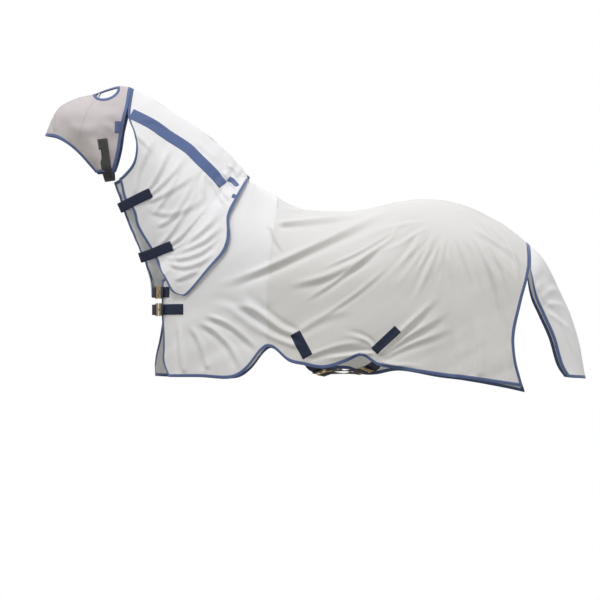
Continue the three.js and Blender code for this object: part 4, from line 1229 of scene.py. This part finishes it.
# The tape round an ear hole, found along rays from the hole's middle.
def earRing(name, at):
    count = 96
    a, b = np.meshgrid(np.linspace(0.05, 0.6, 60), np.linspace(0.02, 0.4, 60), indexing="ij")
    p = at(a, b)
    inside = (earShape(p, 0) < 1) & (np.abs(p[..., 1]) > ear["apart"])
    ac, bc = a[inside].mean(), b[inside].mean()
    phi = np.linspace(0, 2 * math.pi, count, endpoint=False)

    def ray(r):
        return ac + r * np.cos(phi) / 420, np.clip(bc + r * np.sin(phi) / 400, 0, 1)

    def reach(grow):
        low, high = np.zeros(count), np.full(count, 170.0)
        for _ in range(26):
            mid = (low + high) / 2
            q = at(*ray(mid))
            ok = (earShape(q, grow) < 1) & (np.abs(q[..., 1]) > ear["apart"] - grow)
            low, high = np.where(ok, mid, low), np.where(ok, high, mid)
        return low

    inner, outer = reach(0.0), reach(MASK["ring"])
    kernel = np.array([1, 2, 3, 2, 1]) / 9
    inner = np.convolve(np.concatenate([inner[-2:], inner, inner[:2]]), kernel, "valid")
    outer = np.convolve(np.concatenate([outer[-2:], outer, outer[:2]]), kernel, "valid")
    rows = []
    for d, h in tapeProfile(MASK["ring"], 1.2):
        r = inner + (outer - inner) * d / MASK["ring"]
        aa, bb = ray(r)
        rows.append(at(aa, bb) + at.flip * normalOf(at, aa, bb, 0.01) * h)
    grid = np.stack(rows, axis=1)
    grid = np.concatenate([grid, grid[:1]], axis=0)
    grid = np.concatenate([grid, grid[:, :1]], axis=1)
    return outward(gridMesh(name, grid, lengthGrid(grid)))


for label, at in (("near", maskNear), ("off", maskFar)):
    columns, rows = int(430 / MASK["cell"]), int(430 / MASK["cell"])
    a, b = np.meshgrid(np.linspace(0, 1, columns), np.linspace(0, 1, rows), indexing="ij")
    p = at((a[:-1, :-1] + a[1:, 1:]) / 2, (b[:-1, :-1] + b[1:, 1:]) / 2)
    keep = ~((earShape(p, 6) < 1) & (np.abs(p[..., 1]) > ear["apart"] - 6))
    clothPanel(f"{label}MaskPanel", at, columns, rows, "fly_mask", [f"{label}_mask_panel"], "mesh",
               maskMesh, maskMesh, MASK["cloth"], keep=keep)
    finishPiece(earRing(f"{label}EarBinding", at), "fly_mask", [f"{label}_ear_binding"], "tape", tapeBlue)
binding("maskBinding", "fly_mask", "mask_binding", MASK["tape"], 1.2, [
    (at, edge, count, 0.2, seed) for at in (maskNear, maskFar)
    for edge, count, seed in (("a0", 110, 21), ("b1", 40, 22), ("a1", 100, 23))])


def maskShares(flat):
    u, v = invert(maskSide, flat, 0.3, 0.6)
    b = np.linspace(0, 1, 400)
    return u, np.interp(v, maskRow(b), b)


onMask = onShares(maskNear, maskShares)
pad = stripOn("maskStrapPad", onMask, [[-688, 208], [-682, 160]], 44.0, 0.6, 1.4)
finishPiece(pad, "fly_mask", ["mask_strap_pad"], "charcoal", charcoal)
tag = stripOn("maskTag", onMask, [[-616, 290], [-618, 236]], 28.0, 1.6, 0.8, 3.0)
finishPiece(tag, "fly_mask", ["mask_tag"], "tape", bandBlue)
darts = [[[-921, 312], [-914, 280], [-917, 246]], [[-700, 436], [-760, 330], [-800, 200]]]
for label, on in (("near", onMask), ("off", farSide(onMask))):
    for number, line in enumerate(darts):
        dart = stripOn(f"{label}MaskSeam{number}", on, line, 4.0, 0.3, 0.8, 2.0)
        finishPiece(dart, "fly_mask", [], "mesh", seamMesh)
print("mask made")

# Tail flap.
flapAt = flapSurface(flapRelief())
# The flap wears the cloth painted lighter, a painted highlight.
clothPanel("tailFlapPanel", flapAt, int(420 / FLAP["cell"]), int(700 / FLAP["cell"]), "tail_flap",
           ["tail_flap_panel"], "cloth", paintedLighterClothOut, clothIn, 0.9)
binding("tailFlapBinding", "tail_flap", "tail_flap_binding", FLAP["tape"], 1.2, [
    (flapAt, "a0", 140, 0.3, 31),
    (flapAt, "a1", 140, 0.3, 32),
    (flapAt, "b1", 70, 0.3, 33),
    (flapAt, "b0", 70, 0.2, 34),
])
print("tail flap made")

# Straps. A fitting's frame: x along the strap to the off side, z away from the horse.
def fittingFrame(origin, x, z):
    z = unit(np.asarray(z, float))
    y = unit(np.cross(z, x))
    return np.asarray(origin, float), np.stack([np.cross(y, z), y, z])


# Points in a fitting's frame, as points of the rug's own.
def inFrame(where, points):
    origin, axes = where
    return origin + np.asarray(points, float) @ axes


# Half a turn of webbing in a fitting's frame, from height z0 to z1.
def arc(x, z0, z1, bulge, count=7):
    t = np.linspace(-math.pi / 2, math.pi / 2, count)
    return [(x + bulge * math.cos(k), 0.0, (z0 + z1) / 2 + (z1 - z0) / 2 * math.sin(k)) for k in t]


# The near end's webbing from its last straight run, through the eye and back along itself.
def nearEnd(where, lead, back):
    return inFrame(where, lead + arc(-24.4, -1.9, 3.9, 1.4) + [(x, 0, 3.9) for x in back])


# The off end's webbing from its sewn-down tail, through the hook and out to the off side.
def offEnd(where, tail):
    t = np.linspace(math.pi / 2, -math.pi / 2, 7)
    sewn = [(x, 0, 6.5) for x in (60, 50, 40, 30, 23.5)]
    return inFrame(where, sewn + [(22.6 - 1.2 * math.cos(k), 0, 3.9 + 2.6 * math.sin(k)) for k in t] + tail)


# The strap's up directions round the fold in its fitting: way is -1 at the near end and 1 at the off end.
def foldUps(where, way):
    t = np.linspace(way, -way, 7) * math.pi / 2
    return np.stack([way * np.cos(t), 0 * t, -np.sin(t)], axis=-1) @ where[1]


# A strap that rides a body and stands for one node.
def webStrap(name, body, node, centre, up, material=None, slot="webbing", width=None, thick=None):
    piece = strapMesh(name, centre, up, width or WEB["width"], thick or WEB["thick"])
    return finishPiece(piece, body, [node], slot, material or webNavy)


# The creased chest at so many degrees round it, lifted off the cloth.
def chestPoint(angle, z, relief, lift, sign):
    q = (np.asarray(angle, float) - 90) * degree
    z = np.full_like(q, z)
    n = sideNormal(rugSkin, q, z, 1.5)
    p = rugSkin(q, z) + n * (relief.read(q + chestStart, z) + lift)[..., None]
    side = np.array([1.0, sign, 1.0])
    return p * side, n * side


for level, (z, endX) in chestStrap.items():
    angle = 27.5
    foot, before, after = rugSkin(np.array([angle - 90, angle - 93, angle - 87]) * degree, np.full(3, z))
    turn = before - after
    tangent = unit(np.array([turn[0], turn[1], 0.0]))
    out = np.cross([0, 0, 1.0], tangent)
    where = fittingFrame(foot + out * 7.6, tangent, out)
    endAngle = float(stationOf(np.array([endX]))[0] / degree + 90)
    track, ups = chestPoint(np.linspace(endAngle, 42, 26), z, nearRelief, 1.6, 1.0)
    lead = [(-46, 0, -2.6), (-38, 0, -2.0), (-30, 0, -1.9), (-25, 0, -1.9)]
    centre = np.vstack([track, nearEnd(where, lead, (-28, -36, -44, -52))])
    up = np.vstack([ups, np.tile(out, (4, 1)), foldUps(where, -1), np.tile(-out, (4, 1))])
    webStrap(f"near{level.capitalize()}ChestStrap", "rug", f"near_{level}_chest_strap", centre, up)
    offAngles = np.linspace(14, -18, 14)
    track, ups = chestPoint(offAngles, z, offRelief, 1.9, -1.0)
    local = (track - where[0]) @ where[1].T
    track, ups = track[local[:, 0] > 62], ups[local[:, 0] > 62]
    start = offEnd(where, [(23.5, 0, 1.3), (32, 0, 1.3), (44, 0, 0.9), (54, 0, 0.2)])
    order = np.argsort(((track - where[0]) @ where[1].T)[:, 0])
    centre = np.vstack([start, track[order]])
    up = np.vstack([np.tile(-out, (5, 1)), foldUps(where, 1), np.tile(out, (4, 1)), ups[order]])
    webStrap(f"off{level.capitalize()}ChestStrap", "rug", f"off_{level}_chest_strap", centre, up)


# Outwards from the belly's own axis, which lies at y = 0, z = -560.
def awayFromBelly(points):
    return unit(np.stack([0 * points[..., 0], points[..., 1], (points[..., 2] + 560) * 0.8], axis=-1))


# A belly strap's middle line, from its near patch under the belly to the off side.
def bellyPath(nearX, offX, depth):
    near, off = -(float(rugHalf(nearX, -790.0)) - 3), float(rugHalf(offX, -800.0)) - 3
    run = offX - nearX
    return curve([[nearX, near, -778], [nearX + run * 0.02, near + 6, -815],
                  [nearX + run * 0.1, near + 60, depth + 24], [(nearX + offX) / 2, 0, depth],
                  [nearX + run * 0.9, off - 60, depth + 24], [nearX + run * 0.98, off - 6, -815],
                  [offX, off, -778]], 60)


for label, nearX, offX, depth in (("front", 262.0, 596.0, -880.0), ("rear", 600.0, 262.0, -868.0)):
    path = bellyPath(nearX, offX, depth)
    middle = path(178 / path.length)
    run = unit(path(179 / path.length) - path(177 / path.length))
    out = awayFromBelly(middle)
    out = unit(out - out @ run * run)
    where = fittingFrame(middle + out * 1.9, run, out)
    s = np.linspace(0, 136, 18)
    track = path(s / path.length)
    loop = nearEnd(where, [(x, 0, -1.9) for x in (-38, -32, -25)], (-28, -36, -42, -46))
    up = np.vstack([awayFromBelly(track), np.tile(out, (3, 1)), foldUps(where, -1), np.tile(-out, (4, 1))])
    centre = np.vstack([track, loop])
    webStrap(f"near{label.capitalize()}BellyStrap", "rug", f"near_{label}_belly_strap", centre, up)
    s = np.linspace(178 + 86, path.length, 60)
    track = path(s / path.length)
    start = offEnd(where, [(23.5, 0, 1.3), (36, 0, 1.3), (50, 0, 0.9), (66, 0, -0.4)])
    up = np.vstack([np.tile(-out, (5, 1)), foldUps(where, 1), np.tile(out, (4, 1)), awayFromBelly(track)])
    webStrap(f"{label}BellyStrap", "rug", f"{label}_belly_strap", np.vstack([start, track]), up)


# Hook-and-loop tabs: from the near side under the throat to the off side.
def tabTrack(half, line, front, first=0, count=60):
    sides = [[x, -half(x, z) - 2.0, z] for x, z in line]
    far = [[x, -y, z] for x, y, z in sides[first:]][::-1]
    path = curve([*sides, [front[0], 0, front[1]], *far], 40)
    points = path(np.linspace(0, 1, count))
    middle = np.array([line[0][0], 0, line[0][1]])
    out = unit(points - middle)
    return points, out


# Half widths of the neck cover and the mask at a place in the side view.
def neckHalf(x, z):
    u, v = invert(neckSide, [[x, z]], 0.4, 0.6)
    return float(-neckSkin(u, v)[0, 1])


def maskHalf(x, z):
    u, v = invert(maskSide, [[x, z]], 0.3, 0.6)
    return float(-maskSkin(u, v)[0, 1])


tabs = [
    ("upperNeckTab", neckHalf, upperTab, (-612, -108), 1, "upper_neck_tab", webNavy, "webbing"),
    ("lowerNeckTab", neckHalf, lowerTab, (-516, -340), 1, "lower_neck_tab", webNavy, "webbing"),
    ("maskStrap", maskHalf, maskTab, (-660, 22), 2, "mask_strap", charcoal, "charcoal"),
]
for name, half, line, front, first, node, look, slot in tabs:  # each tab's body has its node's name
    points, out = tabTrack(half, line, front, first)
    webStrap(name, node, node, points + out * TAB["lift"], out, look, slot, TAB["width"], TAB["thick"])
for level, line in (("upper", [[-462, -42], [-510, -62]]), ("lower", [[-362, -288], [-405, -303]])):
    pad = stripOn(f"{level}TabPad", onNeck, line, 46.0, 0.5, 1.3)
    finishPiece(pad, "neck_cover", [f"{level}_tab_pad"], "webbing", webNavy)

# The brass fittings keep their own shape.
for name in ("upper_chest", "lower_chest", "front_belly", "rear_belly"):
    for kind in ("keeper", "hook", "slider"):
        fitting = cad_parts.get(f"{name}_{kind}")
        for slot in fitting.material_slots if fitting else ():
            slot.material = brass
print("straps made")

# Light: a soft sky that is brighter overhead, a broad key from above and in front, and a white surround.
scene = bpy.context.scene
world = bpy.data.worlds.new("surround")
scene.world = world
world.use_nodes = True
tree = world.node_tree
tree.nodes.clear()
n = Net(tree)
coord = n.add("ShaderNodeTexCoord")
split = n.add("ShaderNodeSeparateXYZ")
n.link(coord.outputs["Generated"], split.inputs[0])
up = n.math("MULTIPLY_ADD", split.outputs[2], 0.5, 0.5)
glow = n.math("MULTIPLY_ADD", up, LIGHT["sky"] - LIGHT["ground"], LIGHT["ground"])
sky = n.add("ShaderNodeBackground")
n.link(glow, sky.inputs["Strength"])
n.link(n.mix(up, LIGHT["below"], LIGHT["above"]), sky.inputs["Color"])
white = n.add("ShaderNodeBackground")
white.inputs["Color"].default_value = (1, 1, 1, 1)
white.inputs["Strength"].default_value = 1.0
path = n.add("ShaderNodeLightPath")
mixed = n.add("ShaderNodeMixShader")
n.link(path.outputs["Is Camera Ray"], mixed.inputs[0])
n.link(sky.outputs[0], mixed.inputs[1])
n.link(white.outputs[0], mixed.inputs[2])
out = n.add("ShaderNodeOutputWorld")
n.link(mixed.outputs[0], out.inputs["Surface"])


# A rectangular lamp that faces its target.
def areaLight(name, where, target, size, power):
    data = bpy.data.lights.new(name, "AREA")
    data.shape = "RECTANGLE"
    data.size, data.size_y = size
    data.energy = power
    lamp = bpy.data.objects.new(name, data)
    lamp.location = where
    lamp.rotation_mode = "QUATERNION"
    lamp.rotation_quaternion = (Vector(target) - Vector(where)).to_track_quat("-Z", "Y")
    scene.collection.objects.link(lamp)


areaLight("key", (-0.9, -2.2, 3.6), (0.3, 0, -0.4), (2.2, 1.2), LIGHT["key"])
areaLight("fill", (-3.6, -2.4, 0.6), (0.0, 0, -0.4), (2.0, 2.0), LIGHT["fill"])
areaLight("rear", (3.6, -2.0, 1.0), (1.35, 0, -0.6), (1.6, 1.6), LIGHT["rear"])
areaLight("off", (0.8, 3.2, 2.6), (0.3, 0, -0.4), (2.4, 1.6), LIGHT["off"])
scene.view_settings.view_transform = "Standard"
scene.view_settings.look = "None"
